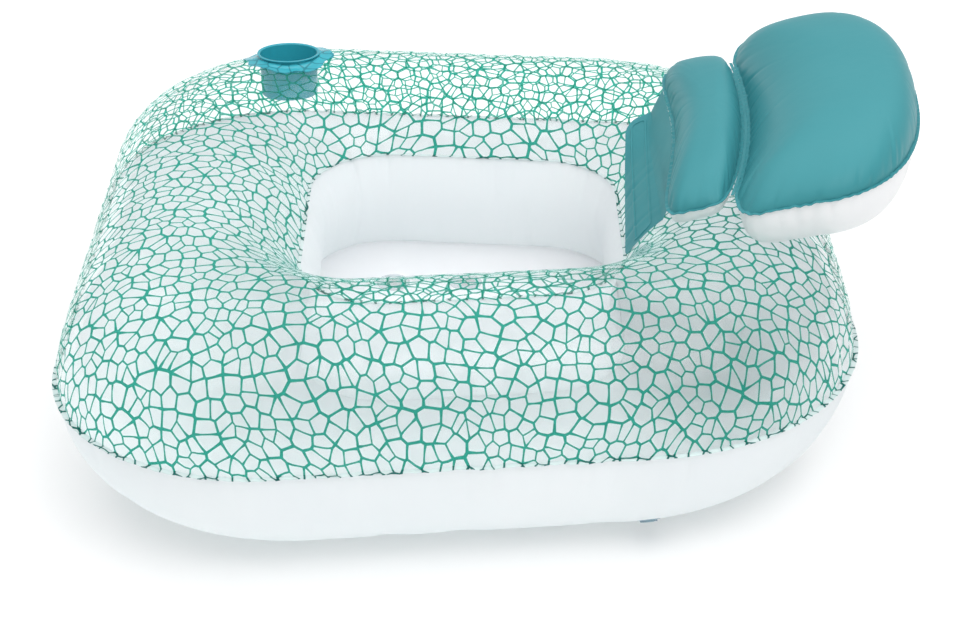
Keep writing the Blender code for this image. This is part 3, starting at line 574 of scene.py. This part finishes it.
def make_collar(tree, place):
    """The wavy welded collar round the cup's mouth."""
    around = np.linspace(0.0, 2 * math.pi, 241)
    lobes = (size * np.cos(number * around + start) for number, size, start in COLLAR_LOBES)
    outline = sum(lobes, COLLAR_RADIUS)
    share = np.linspace(0.0, 1.0, 13)
    down = place.to_3x3() @ Vector((0.0, 0.0, -1.0))
    rows = []
    for part in share:
        row = []
        for turn, reach in zip(around, outline):
            radius = CUP_RADIUS + COLLAR_CLEARANCE + (reach - CUP_RADIUS) * part
            start = place @ Vector((radius * math.cos(turn), radius * math.sin(turn), ABOVE_CUP))
            point, normal, _, _ = tree.ray_cast(start, down)
            flutter = COLLAR_FLUTTER * part * part * (1 + math.sin(8 * turn + 0.4)) / 2
            near_lip = min(1.0, max(0.0, (COLLAR_FOOT - radius) / (COLLAR_FOOT - CUP_LIP_RADIUS)))
            climb = COLLAR_CLIMB * near_lip * near_lip * (3 - 2 * near_lip)
            row.append(point + normal * (FIT_GAP + COLLAR_LIFT + climb + flutter))
        rows.append(row)
    rows = np.array(rows)
    rows[:, -1] = rows[:, 0]
    return thickened(bent_grid("drink_holder_collar", rows, rows[..., :2]), COLLAR_THICKNESS, 1.0)


def cut_round_hole(film, radius, place, steps):
    """Opens a film with a round hole."""
    bpy.ops.object.select_all(action="DESELECT")
    bpy.ops.mesh.primitive_cylinder_add(vertices=steps, radius=radius, depth=0.10)
    cutter = bpy.context.object
    cutter.matrix_world = place
    hole = film.modifiers.new("round_hole", "BOOLEAN")
    hole.object = cutter
    hole.solver = "EXACT"
    finish_modifiers(film)
    bpy.data.objects.remove(cutter)


def flap_corner(share):
    """How far the flap's rounded corners draw its edge in."""
    past = max(0.0, abs(share) * FLAP_HALF - FLAP_HALF + FLAP_CORNER)
    return FLAP_CORNER - math.sqrt(max(0.0, FLAP_CORNER ** 2 - past ** 2))


def web_edge(columns):
    """Where the web meets the front of the lumbar chamber, for the flap's columns."""
    a, b = unit_loop((LUMBAR_FRONT_POWER, LUMBAR_CREASE_POWER), 800, lumbar_plan)
    front = widened(np.stack(lumbar_plan(a, b, 1.0), axis=1), CUSHION_LIP + WEB_GAP)[a < 0.0]
    front = front[np.argsort(front[:, 1])]
    wanted = (columns - FLAP_MIDDLE) / FLAP_HALF * WEB_HALF
    x = np.interp(wanted, front[:, 1], front[:, 0])
    return placed(np.stack([x, wanted, lumbar_seam(x, wanted)], axis=1))


def make_flap(tree):
    """The flap welded on the ring's inner slope, and the slack web from it to the backrest, in one sheet."""
    hinge = ORIGIN_X + HINGE_X
    spread = -np.cos(np.linspace(0.0, math.pi, 161))
    columns = FLAP_MIDDLE + FLAP_HALF * spread
    fold_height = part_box("backrest_anchor_flap")[1].z - FILM
    rows = []
    for share in np.linspace(0.0, 1.0, 25):
        row = []
        for spot, y in zip(spread, columns):
            left = hinge - FLAP_REACH + FLAP_SLANT * spot + flap_corner(spot)
            row.append(seated(tree, left + (hinge - FLAP_RAMP - left) * share, y, FLAP_LIFT))
        rows.append(row)
    near = np.stack([np.full_like(columns, hinge), columns, np.full_like(columns, fold_height)], axis=1)
    far = web_edge(columns)
    swing = (columns - columns[0]) / (columns[-1] - columns[0])
    for share in np.linspace(0.0, 1.0, 33):
        row = near + (far - near) * share
        fan = sum(
            size * np.sin(folds * swing + lean * share + start) * np.exp(-((swing - middle) / width) ** 2)
            for folds, lean, start, middle, width, size in WEB_FOLDS
        )
        row[:, 2] += WEB_RIPPLE * (fan + 1.2) * math.sin(math.pi * share)
        rows.append(row)
    sheet = thickened(bent_grid("flap_and_web", np.array(rows)), FILM, 1.0)
    return sheet, fold_height


def make_weld_line(tree):
    """The raised line of the weld that holds the flap."""
    hinge = ORIGIN_X + HINGE_X
    low_x, high_x = hinge - FLAP_REACH + BEAD_INSET, hinge - FLAP_RAMP - BEAD_WIDTH - BEAD_SLANT
    half = FLAP_HALF - BEAD_INSET
    radius = (high_x - low_x) * 0.33
    loop = rounded_outline(low_x, high_x, half, half, radius, radius, 24, 90)
    across = np.linspace(-1.0, 1.0, 9)
    rows = []
    for part in across:
        ring = widened(loop, part * BEAD_WIDTH / 2)
        slant = BEAD_SLANT * ring[:, 1] / half
        rise = FLAP_LIFT + FILM + BEAD_RISE * math.sqrt(max(0.0, 1 - part * part)) - BEAD_SINK
        rows.append([seated(tree, x + shift, y + FLAP_MIDDLE, rise) for (x, y), shift in zip(ring, slant)])
    return thickened(bent_grid("flap_weld_line", wrapped(np.array(rows))), BEAD_FILM)


def make_crease_weld():
    """The weld between the two chambers, along the line where the pillow folds."""
    across = np.linspace(-CREASE_WIDTH / 2 - FIT_GAP, CREASE_GAP / 2, 11)
    along = np.linspace(-CREASE_HALF, CREASE_HALF, 161)
    rows = np.array([[
        (x + crease_line(y), y, CREASE_HEIGHT + CREASE_RIPPLE * math.sin(90 * y) * math.sin(31 * y))
        for y in along
    ] for x in across])
    return thickened(bent_grid("chamber_crease_weld", placed(rows)), WELD, 0.0)


# ---- Backrest ----

def unit_loop(powers, count, plan):
    """Unit points of a rounded square, evenly spaced along its real outline."""
    turn = np.linspace(0.0, 2 * math.pi, 4001)[:-1]
    a, b = np.cos(turn), np.sin(turn)
    power = np.where(a < 0, powers[0], powers[1])
    reach = (np.abs(a) ** power + np.abs(b) ** power) ** (-1 / power)
    a, b = a * reach, b * reach
    x, y = plan(a, b, 1.0)
    run, whole = run_along(np.stack([x, y], axis=1))
    wanted = np.arange(count) * whole / count
    return np.interp(wanted, run, a), np.interp(wanted, run, b)


def crease_line(y):
    """How far the crease bows away from the sitter, by its place along the crease."""
    return CREASE_BOW * np.maximum(0.0, 1 - (y / CREASE_HALF) ** 2)


def lumbar_sides(y):
    """Front edge and crease edge of the chamber that bends round the small of the back."""
    share = y / LUMBAR_HALF
    end_width = np.where(y > 0, LUMBAR_FAR_WIDTH, LUMBAR_NEAR_WIDTH)
    width = LUMBAR_MIDDLE_WIDTH + (end_width - LUMBAR_MIDDLE_WIDTH) * share * share
    back = -CREASE_WIDTH / 2 - FIT_GAP - CUSHION_LIP
    return back - width, back + crease_line(y)


def lumbar_plan(a, b, r):
    """Plan of the lumbar chamber; r shrinks it to its middle."""
    y = b * r * LUMBAR_HALF
    front, back = lumbar_sides(y)
    return front + (back - front) * (1 + a * r) / 2, y


def lumbar_seam(x, y):
    """Height of the lumbar chamber's weld, which falls towards the seat well."""
    front, back = lumbar_sides(y)
    return CREASE_HEIGHT - LUMBAR_DROP * (back - x) / (back - front)


def pillow_plan(a, b, r):
    """Plan of the head pillow; its crown stands outward of its middle."""
    y = b * r * PILLOW_HALF
    edge = CREASE_GAP / 2 + CUSHION_LIP
    reach = np.where(a > 0, PILLOW_OUTER, PILLOW_INNER - crease_line(y))
    return edge + PILLOW_INNER + a * r * reach + PILLOW_CROWN_SHIFT * (1 - r), y


def pillow_seam(x, y):
    """Height of the pillow's weld, which rises from the crease and levels out."""
    near = CREASE_GAP / 2 + crease_line(y)
    far = CREASE_GAP / 2 + CUSHION_LIP + PILLOW_INNER + PILLOW_OUTER
    return CREASE_HEIGHT + PILLOW_RISE * (1 - ((far - x) / (far - near)) ** 2)


def placed(points):
    """Points of the backrest's own frame, set on the ring."""
    turned = points @ np.array(BACKREST.to_3x3()).T
    return turned + np.array(BACKREST.translation)


def make_chamber(name, plan, seam_height, powers, crowns, crown_power, ring_tree, crease_side,
                 wave_height):
    """A blown-up chamber, white below and teal above in one closed skin, and its welded lip.

    Its top falls gently to the crease, which lies on its -X or +X side, and steeply elsewhere.
    """
    count, rings = 440, 34
    a, b = unit_loop(powers, count, plan)
    x, y = plan(a, b, 1.0)
    loop = np.stack([x, y], axis=1)
    run, whole = run_along(loop)
    wave = ruffle(run, whole, CUSHION_WAVES, wave_height)
    shrink = np.cos(np.linspace(0.0, math.pi / 2, rings + 1))
    shrink[-1] = 0.0
    slope = 0.5 + CREASE_SLOPE * np.clip(crease_side * a, 0.0, 1.0) ** 2
    halves = []
    for side, crown in ((-1, crowns[1]), (1, crowns[0])):
        rows = []
        for r in shrink:
            px, py = plan(a, b, r)
            swell = (1 - r ** crown_power) ** (slope if side > 0 else 0.5)
            rows.append(np.stack([px, py, seam_height(px, py) + side * (WELD / 2 + crown * swell)], axis=1))
        points = wrapped(np.stack(rows))
        if side < 0:
            points = points[::-1]
        away = row_runs(points)
        if side < 0:
            away = away[-1] - away
        sunk = puckers(run, whole, away, *CUSHION_CREASES)
        sunk += puckers(run, whole, away, *CUSHION_FOLDS)
        points = points - normals(points) * wrapped(sunk)[..., None]
        points[..., 2] += wrapped(fading(away, CUSHION_WAVE_REACH)[:, None] * wave[None])
        halves.append(placed(points))
    under, over = halves
    for row in under:
        for index, point in enumerate(row):
            here = Vector(point)
            surface, normal, _, _ = ring_tree.find_nearest(here)
            if (here - surface).dot(normal) < REST_LIFT:
                row[index] = surface + normal * REST_LIFT
    skin = bent_grid(f"{name}_chamber", np.concatenate([under, over]))
    lip = np.stack([widened(loop, d) for d in np.linspace(CUSHION_LIP, -WELD_INSIDE, 4)])
    tall = seam_height(lip[..., 0], lip[..., 1]) + wave[None]
    points = placed(wrapped(np.concatenate([lip, tall[..., None]], axis=2)))
    weld = thickened(bent_grid(f"{name}_weld", points), WELD, 0.0)
    return skin, weld


# ---- Materials ----

def colour(text):
    """A linear colour from an sRGB hex value."""
    channels = [int(text[place:place + 2], 16) / 255 for place in (1, 3, 5)]
    linear = [c / 12.92 if c <= 0.04045 else ((c + 0.055) / 1.055) ** 2.4 for c in channels]
    return (*linear, 1.0)


def add(tree, kind, inputs=None, **settings):
    """Adds a node with its settings; an input is a value or another node's output."""
    node = tree.nodes.new(kind)
    for name, value in settings.items():
        setattr(node, name, value)
    for name, value in (inputs or {}).items():
        if isinstance(value, bpy.types.NodeSocket):
            tree.links.new(value, node.inputs[name])
        else:
            node.inputs[name].default_value = value
    return node


def new_material(name):
    """An empty node material."""
    material = bpy.data.materials.new(name)
    material.use_nodes = True
    material.node_tree.nodes.clear()
    return material, material.node_tree


def output(tree, surface):
    """Ends a material."""
    add(tree, "ShaderNodeOutputMaterial", {"Surface": surface})


WHITE = "#FFFFFF"

# Print: cells of about 20 mm and lines of about 2 mm, which drift over about 110 mm
CELL = 0.0205
CELL_SPREAD = 0.92
LINE = 0.0021
LINE_EDGE = 60.0
MEETING_START = 0.38
MEETING_GROWTH = 0.12
DRIFT_SCALE = 9.0
DRIFT = 0.020
HAZE = 0.015
INK_COVER = 0.30

# Film: cloudiness of about 170 mm and ripples of about 30 mm, both faint
CLOUD_SCALE = 6.0
RIPPLE_SCALE = 30.0
RIPPLE_DEPTH = 0.0004


def printed_ink(tree):
    """Share of teal ink: a network of cells with round corners, thicker where its lines meet."""
    sheet = add(tree, "ShaderNodeUVMap").outputs["UV"]
    drift = add(tree, "ShaderNodeTexNoise", {
        "Vector": sheet, "Scale": DRIFT_SCALE, "Detail": 0.0,
    }, noise_dimensions="2D")
    shift = add(tree, "ShaderNodeVectorMath", {
        0: drift.outputs["Color"], 1: (0.5, 0.5, 0.5),
    }, operation="SUBTRACT")
    small = add(tree, "ShaderNodeVectorMath", {0: shift.outputs[0], "Scale": DRIFT}, operation="SCALE")
    moved = add(tree, "ShaderNodeVectorMath", {0: sheet, 1: small.outputs[0]}, operation="ADD").outputs[0]
    cells = {"Vector": moved, "Scale": 1 / CELL, "Randomness": CELL_SPREAD}
    edge = add(tree, "ShaderNodeTexVoronoi", cells, voronoi_dimensions="2D", feature="DISTANCE_TO_EDGE")
    centre = add(tree, "ShaderNodeTexVoronoi", cells, voronoi_dimensions="2D", feature="F1")
    far = add(tree, "ShaderNodeMath", {0: centre.outputs["Distance"], 1: MEETING_START}, operation="SUBTRACT")
    far = add(tree, "ShaderNodeMath", {0: far.outputs[0], 1: 0.0}, operation="MAXIMUM")
    half = add(tree, "ShaderNodeMath", {
        0: far.outputs[0], 1: MEETING_GROWTH, 2: LINE / 2 / CELL,
    }, operation="MULTIPLY_ADD")
    inside = add(tree, "ShaderNodeMath", {
        0: half.outputs[0], 1: edge.outputs["Distance"],
    }, operation="SUBTRACT")
    ink = add(tree, "ShaderNodeMath", {
        0: inside.outputs[0], 1: LINE_EDGE, 2: 0.5,
    }, operation="MULTIPLY_ADD", use_clamp=True)
    return ink.outputs[0]


def gloss_share(tree, straight):
    """Share of light that a film mirrors: little straight on, much at a glance, from either side."""
    facing = add(tree, "ShaderNodeLayerWeight", {"Blend": 0.5}).outputs["Facing"]
    steep = add(tree, "ShaderNodeMath", {0: facing, 1: 5.0}, operation="POWER")
    share = add(tree, "ShaderNodeMath", {0: steep.outputs[0], 1: 0.6, 2: straight}, operation="MULTIPLY_ADD")
    return share.outputs[0]


def printed_clear_vinyl():
    """Clear calendered PVC, printed with teal cells: what lies inside shows through, a little milky."""
    material, tree = new_material("printed_clear_vinyl")
    clear = add(tree, "ShaderNodeBsdfTransparent", {"Color": colour(WHITE)})
    below = add(tree, "ShaderNodeBsdfDiffuse", {"Color": colour("#EDFCFD")})
    through = add(tree, "ShaderNodeBsdfTranslucent", {"Color": colour("#EDFCFD")})
    milk = add(tree, "ShaderNodeMixShader", {0: 0.5, 1: below.outputs[0], 2: through.outputs[0]})
    hazy = add(tree, "ShaderNodeMixShader", {0: HAZE, 1: clear.outputs[0], 2: milk.outputs[0]})
    gloss = add(tree, "ShaderNodeBsdfGlossy", {"Color": colour(WHITE), "Roughness": 0.15})
    mirrored = gloss_share(tree, 0.02)
    film = add(tree, "ShaderNodeMixShader", {0: mirrored, 1: hazy.outputs[0], 2: gloss.outputs[0]})
    inked = add(tree, "ShaderNodeBsdfPrincipled", {
        "Base Color": colour("#3BAC9A"), "Roughness": 0.35, "Specular IOR Level": 0.3,
    })
    glow = add(tree, "ShaderNodeBsdfTranslucent", {"Color": colour("#5FD3C2")})
    lit = add(tree, "ShaderNodeMixShader", {0: 0.35, 1: inked.outputs[0], 2: glow.outputs[0]})
    tint = add(tree, "ShaderNodeBsdfTransparent", {"Color": colour("#88DACE")})
    line = add(tree, "ShaderNodeMixShader", {0: INK_COVER, 1: tint.outputs[0], 2: lit.outputs[0]})
    whole = add(tree, "ShaderNodeMixShader", {0: printed_ink(tree), 1: film.outputs[0], 2: line.outputs[0]})
    output(tree, whole.outputs[0])
    return material


def printed_weld_vinyl():
    """The same film heat-welded on white: with nothing clear behind it, the ink reads darker."""
    material, tree = new_material("printed_weld_vinyl")
    tones = {0: printed_ink(tree), "A": colour("#EAF2F2"), "B": colour("#1F7A74")}
    tone = add(tree, "ShaderNodeMix", tones, data_type="RGBA")
    skin = add(tree, "ShaderNodeBsdfPrincipled", {"Base Color": tone.outputs["Result"], "Roughness": 0.30})
    glow = add(tree, "ShaderNodeBsdfTranslucent", {"Color": tone.outputs["Result"]})
    whole = add(tree, "ShaderNodeMixShader", {0: 0.5, 1: skin.outputs[0], 2: glow.outputs[0]})
    output(tree, whole.outputs[0])
    return material


def soft_vinyl(name, base, deep, roughness, specular, through):
    """Calendered PVC film in one colour, faintly uneven as a blown-up sheet is; some light comes through."""
    material, tree = new_material(name)
    place = add(tree, "ShaderNodeTexCoord").outputs["Object"]
    cloud = add(tree, "ShaderNodeTexNoise", {"Vector": place, "Scale": CLOUD_SCALE, "Detail": 3.0})
    tones = {0: cloud.outputs["Fac"], "A": colour(deep), "B": colour(base)}
    tone = add(tree, "ShaderNodeMix", tones, data_type="RGBA")
    ripple = add(tree, "ShaderNodeTexNoise", {
        "Vector": place, "Scale": RIPPLE_SCALE, "Detail": 2.0, "Roughness": 0.5,
    })
    bump = add(tree, "ShaderNodeBump", {
        "Height": ripple.outputs["Fac"], "Distance": RIPPLE_DEPTH, "Strength": 1.0,
    })
    skin = add(tree, "ShaderNodeBsdfPrincipled", {
        "Base Color": tone.outputs["Result"], "Roughness": roughness, "Specular IOR Level": specular,
        "Normal": bump.outputs[0],
    })
    glow = add(tree, "ShaderNodeBsdfTranslucent", {"Color": tone.outputs["Result"]})
    whole = add(tree, "ShaderNodeMixShader", {0: through, 1: skin.outputs[0], 2: glow.outputs[0]})
    output(tree, whole.outputs[0])
    return material


def tinted_film(name, tint, body, cover, roughness, print_tone=None):
    """Dyed PVC, printed or plain: part clear in its tint and part milky in its body colour."""
    material, tree = new_material(name)
    clear = add(tree, "ShaderNodeBsdfTransparent", {"Color": colour(tint)})
    tone = colour(body)
    if print_tone:
        drawn = {0: printed_ink(tree), "A": tone, "B": colour(print_tone)}
        tone = add(tree, "ShaderNodeMix", drawn, data_type="RGBA").outputs["Result"]
    milky = add(tree, "ShaderNodeBsdfPrincipled", {"Base Color": tone, "Roughness": roughness})
    whole = add(tree, "ShaderNodeMixShader", {0: cover, 1: clear.outputs[0], 2: milky.outputs[0]})
    output(tree, whole.outputs[0])
    return material


# ---- Stage, light and camera ----

# Camera, from the fit of the ring's outlines
ELEVATION = 0.5122
DISTANCE = 3.243
TARGET_X = 0.041
TARGET_HEIGHT = 0.095
YAW = 0.0112
ROLL = 0.0031
FOCAL_PIXELS = 2202.0
PHOTO_WIDTH = 979.0
SENSOR = 36.0

# Floor, the white that it shows away from the chair, surround and lamps (name, place, size and power)
FLOOR_SIZE = 30.0
FLOOR_DROP = 0.0005
GLOW_NEAR, GLOW_FAR = 0.8, 4.0
GLOW_START, GLOW_END = 0.11, 0.7
SURROUND = 0.53
LAMPS = (
    ("softbox_overhead", (0.1, 0.0, 3.0), 5.2, 112.0),
    ("softbox_front_right", (1.2, -1.7, 2.4), 2.2, 20.0),
)
LAMP_AIM = Vector((0.0, 0.0, 0.2))


def make_camera():
    """The camera at the photograph's angle."""
    back = Vector((0.0, -math.cos(ELEVATION), math.sin(ELEVATION)))
    up = Vector((0.0, math.sin(ELEVATION), math.cos(ELEVATION)))
    right = Vector((1.0, 0.0, 0.0))
    axes = Matrix((
        right * math.cos(ROLL) + up * math.sin(ROLL), up * math.cos(ROLL) - right * math.sin(ROLL), back,
    )).transposed().to_4x4()
    spot = Matrix.Translation(Vector((TARGET_X, 0.0, TARGET_HEIGHT)) + back * DISTANCE)
    place = Matrix.Translation((ORIGIN_X, 0.0, 0.0)) @ Matrix.Rotation(-YAW, 4, "Z") @ spot @ axes
    bpy.ops.object.camera_add()
    camera = bpy.context.object
    camera.matrix_world = place
    camera.data.sensor_width = SENSOR
    camera.data.lens = FOCAL_PIXELS * SENSOR / PHOTO_WIDTH
    bpy.context.scene.camera = camera


def seen_share(tree, first, *others):
    """Whether a ray of one of these kinds, which show the white background, arrives."""
    path = add(tree, "ShaderNodeLightPath")
    seen = path.outputs[first]
    for kind in others:
        seen = add(tree, "ShaderNodeMath", {0: seen, 1: path.outputs[kind]}, operation="MAXIMUM").outputs[0]
    return seen


def make_stage():
    """A pale studio floor that glows white away from the chair, two soft panels and an even surround."""
    bpy.ops.mesh.primitive_plane_add(size=FLOOR_SIZE, location=(0.0, 0.0, -FLOOR_DROP))
    floor = bpy.context.object
    floor.name = "studio_floor"
    material, tree = new_material("studio_floor_paint")
    seen = seen_share(tree, "Is Camera Ray", "Is Transmission Ray", "Is Glossy Ray")
    paint = add(tree, "ShaderNodeBsdfDiffuse", {"Color": colour("#F0F0F0")})
    place = add(tree, "ShaderNodeTexCoord").outputs["Object"]
    far = add(tree, "ShaderNodeVectorMath", {0: place}, operation="LENGTH").outputs["Value"]
    wash = add(tree, "ShaderNodeMapRange", {
        "Value": far, "From Min": GLOW_NEAR, "From Max": GLOW_FAR, "To Min": GLOW_START, "To Max": GLOW_END,
    })
    glow = add(tree, "ShaderNodeMath", {0: seen, 1: wash.outputs[0]}, operation="MULTIPLY")
    lift = add(tree, "ShaderNodeEmission", {"Color": colour(WHITE), "Strength": glow.outputs[0]})
    both = add(tree, "ShaderNodeAddShader", {0: paint.outputs[0], 1: lift.outputs[0]})
    output(tree, both.outputs[0])
    floor.data.materials.append(material)

    world = bpy.data.worlds.new("studio_surround")
    bpy.context.scene.world = world
    world.use_nodes = True
    tree = world.node_tree
    tree.nodes.clear()
    seen = seen_share(tree, "Is Camera Ray", "Is Transmission Ray")
    level = add(tree, "ShaderNodeMapRange", {"Value": seen, "To Min": SURROUND, "To Max": 1.0})
    sky = add(tree, "ShaderNodeBackground", {"Color": colour(WHITE), "Strength": level.outputs[0]})
    add(tree, "ShaderNodeOutputWorld", {"Surface": sky.outputs[0]})

    for name, place, size, power in LAMPS:
        bpy.ops.object.light_add(type="AREA", location=place)
        lamp = bpy.context.object
        lamp.name = name
        lamp.data.size = size
        lamp.data.energy = power
        lamp.rotation_euler = (LAMP_AIM - Vector(place)).to_track_quat("-Z", "Y").to_euler()


# ---- Putting it together ----

bpy.context.scene.view_settings.view_transform = "Standard"
bpy.ops.object.select_all(action="DESELECT")
make_camera()
make_stage()

clear_vinyl = printed_clear_vinyl()
weld_vinyl = printed_weld_vinyl()
# Calendered white PVC round lit air: it glows a little, with a faint gloss
white_vinyl = soft_vinyl("white_pvc_film", "#FCFCFD", "#F8F9FB", 0.30, 0.3, 0.55)
# The same film under a teal chamber: hardly any light comes from behind it
under_vinyl = soft_vinyl("white_pvc_backing", "#FCFCFD", "#F8F9FB", 0.30, 0.3, 0.08)
# Calendered teal PVC, dyed through: one even colour with a soft sheen
teal_vinyl = soft_vinyl("teal_pvc_film", "#44959D", "#3F8F97", 0.42, 0.2, 0.10)
# Vacuum-formed teal PVC: a smooth, glossy cup, almost opaque
cup_vinyl = tinted_film("teal_cup_film", "#6CC3D0", "#35A9BA", 0.90, 0.20)
# Die-cut teal PVC film on the printed sheet, whose lines show through it darker
collar_vinyl = tinted_film("teal_collar_film", "#6CD3DF", "#45C0D0", 0.70, 0.20, "#2A93A2")
# Injection-moulded soft PVC: pale, smooth and a little see-through
valve_vinyl = tinted_film("pale_valve_moulding", "#CFE4EE", "#B9D5E3", 0.75, 0.22)
# Die-cut clear PVC: a faint grey ring on the white floor
washer_vinyl = tinted_film("clear_drain_washer", "#F2F5F7", "#DFE6E9", 0.45, 0.20)

clear_film = make_clear_film()
ring_tree = tree_of(clear_film)
thickened(clear_film, FILM)
cup, cup_axis = make_cup(ring_tree)
cut_round_hole(clear_film, CUP_RADIUS + FIT_GAP, cup_axis, 144)
finished(clear_film, "root", "clear_printed_vinyl", clear_vinyl, "ring_top_sheet")
finished(cup, "root", "cup_vinyl", cup_vinyl, "cup_holder_cup")
collar = make_collar(ring_tree, cup_axis)
finished(collar, "root", "cup_vinyl", collar_vinyl, "cup_holder_collar")
white_film = thickened(make_white_film(), FILM)
finished(white_film, "root", "white_vinyl", white_vinyl, "ring_bottom_sheet")
wall, rim_height = make_well_wall()
thickened(wall, FILM)
finished(wall, "root", "white_vinyl", white_vinyl, "well_wall_sheet")
floor_film = make_floor()
finished(floor_film, "root", "white_vinyl", white_vinyl, "seat_floor_sheet")

sheet = print_place(TOP_ANGLES)[:, :-1]
still = np.zeros_like(RIM_RUFFLE)
lips = (
    ("outer_weld", "ring_outer_seam", SEAM_LOOP, OUTER_LIP, -WELD_INSIDE, SEAM_HEIGHT, SEAM_RUFFLE, sheet[0]),
    ("rim_weld", "well_rim_seam", RIM_LOOP, WELD_INSIDE, -RIM_LIP, rim_height, RIM_RUFFLE, sheet[-1]),
    ("floor_weld", "well_floor_seam", floor_loop(), WELD_INSIDE, -FLOOR_LIP, FLOOR_HEIGHT, still, None),
)
for name, node_name, loop, outwards, inwards, height, wave, edge in lips:
    lip = band(name, loop, outwards, inwards, height, wave, edge)
    finished(lip, "root", "white_vinyl", white_vinyl if edge is None else weld_vinyl, node_name)

flap, fold_height = make_flap(ring_tree)
finished(flap, None, "teal_vinyl", teal_vinyl, "backrest_anchor_flap", "backrest_web")
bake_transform(flap)
finished(make_weld_line(ring_tree), "root", "teal_vinyl", teal_vinyl, "anchor_weld_bead")
crease = make_crease_weld()
finished(crease, None, "teal_vinyl", teal_vinyl, "backrest_crease_weld")
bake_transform(crease)

lumbar, lumbar_weld = make_chamber(
    "lumbar", lumbar_plan, lumbar_seam, (LUMBAR_FRONT_POWER, LUMBAR_CREASE_POWER),
    (LUMBAR_TOP_CROWN, LUMBAR_BOTTOM_CROWN), LUMBAR_CROWN_POWER, ring_tree, 1, LUMBAR_WAVE_HEIGHT,
)
pillow, pillow_weld = make_chamber(
    "pillow", pillow_plan, pillow_seam, (PILLOW_INNER_POWER, PILLOW_OUTER_POWER),
    (PILLOW_TOP_CROWN, PILLOW_BOTTOM_CROWN), PILLOW_CROWN_POWER, ring_tree, -1, PILLOW_WAVE_HEIGHT,
)
for skin, body, prefix in ((lumbar, "backrest", "lumbar"), (pillow, "pillow", "pillow")):
    finished(skin, body, "teal_vinyl", teal_vinyl, f"{prefix}_top_sheet", f"{prefix}_bottom_sheet")
    skin.data.materials.append(under_vinyl)
    half = len(skin.data.polygons) // 2
    for face in skin.data.polygons:
        face.material_index = 1 if face.index < half else 0
finished(lumbar_weld, "backrest", "teal_vinyl", teal_vinyl, "lumbar_seam")
finished(pillow_weld, "pillow", "teal_vinyl", teal_vinyl, "pillow_seam")

for name, node_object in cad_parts.items():
    if "valve" in name or name.startswith("drain"):
        node_object.data.materials.clear()
        node_object.data.materials.append(valve_vinyl if "valve" in name else washer_vinyl)
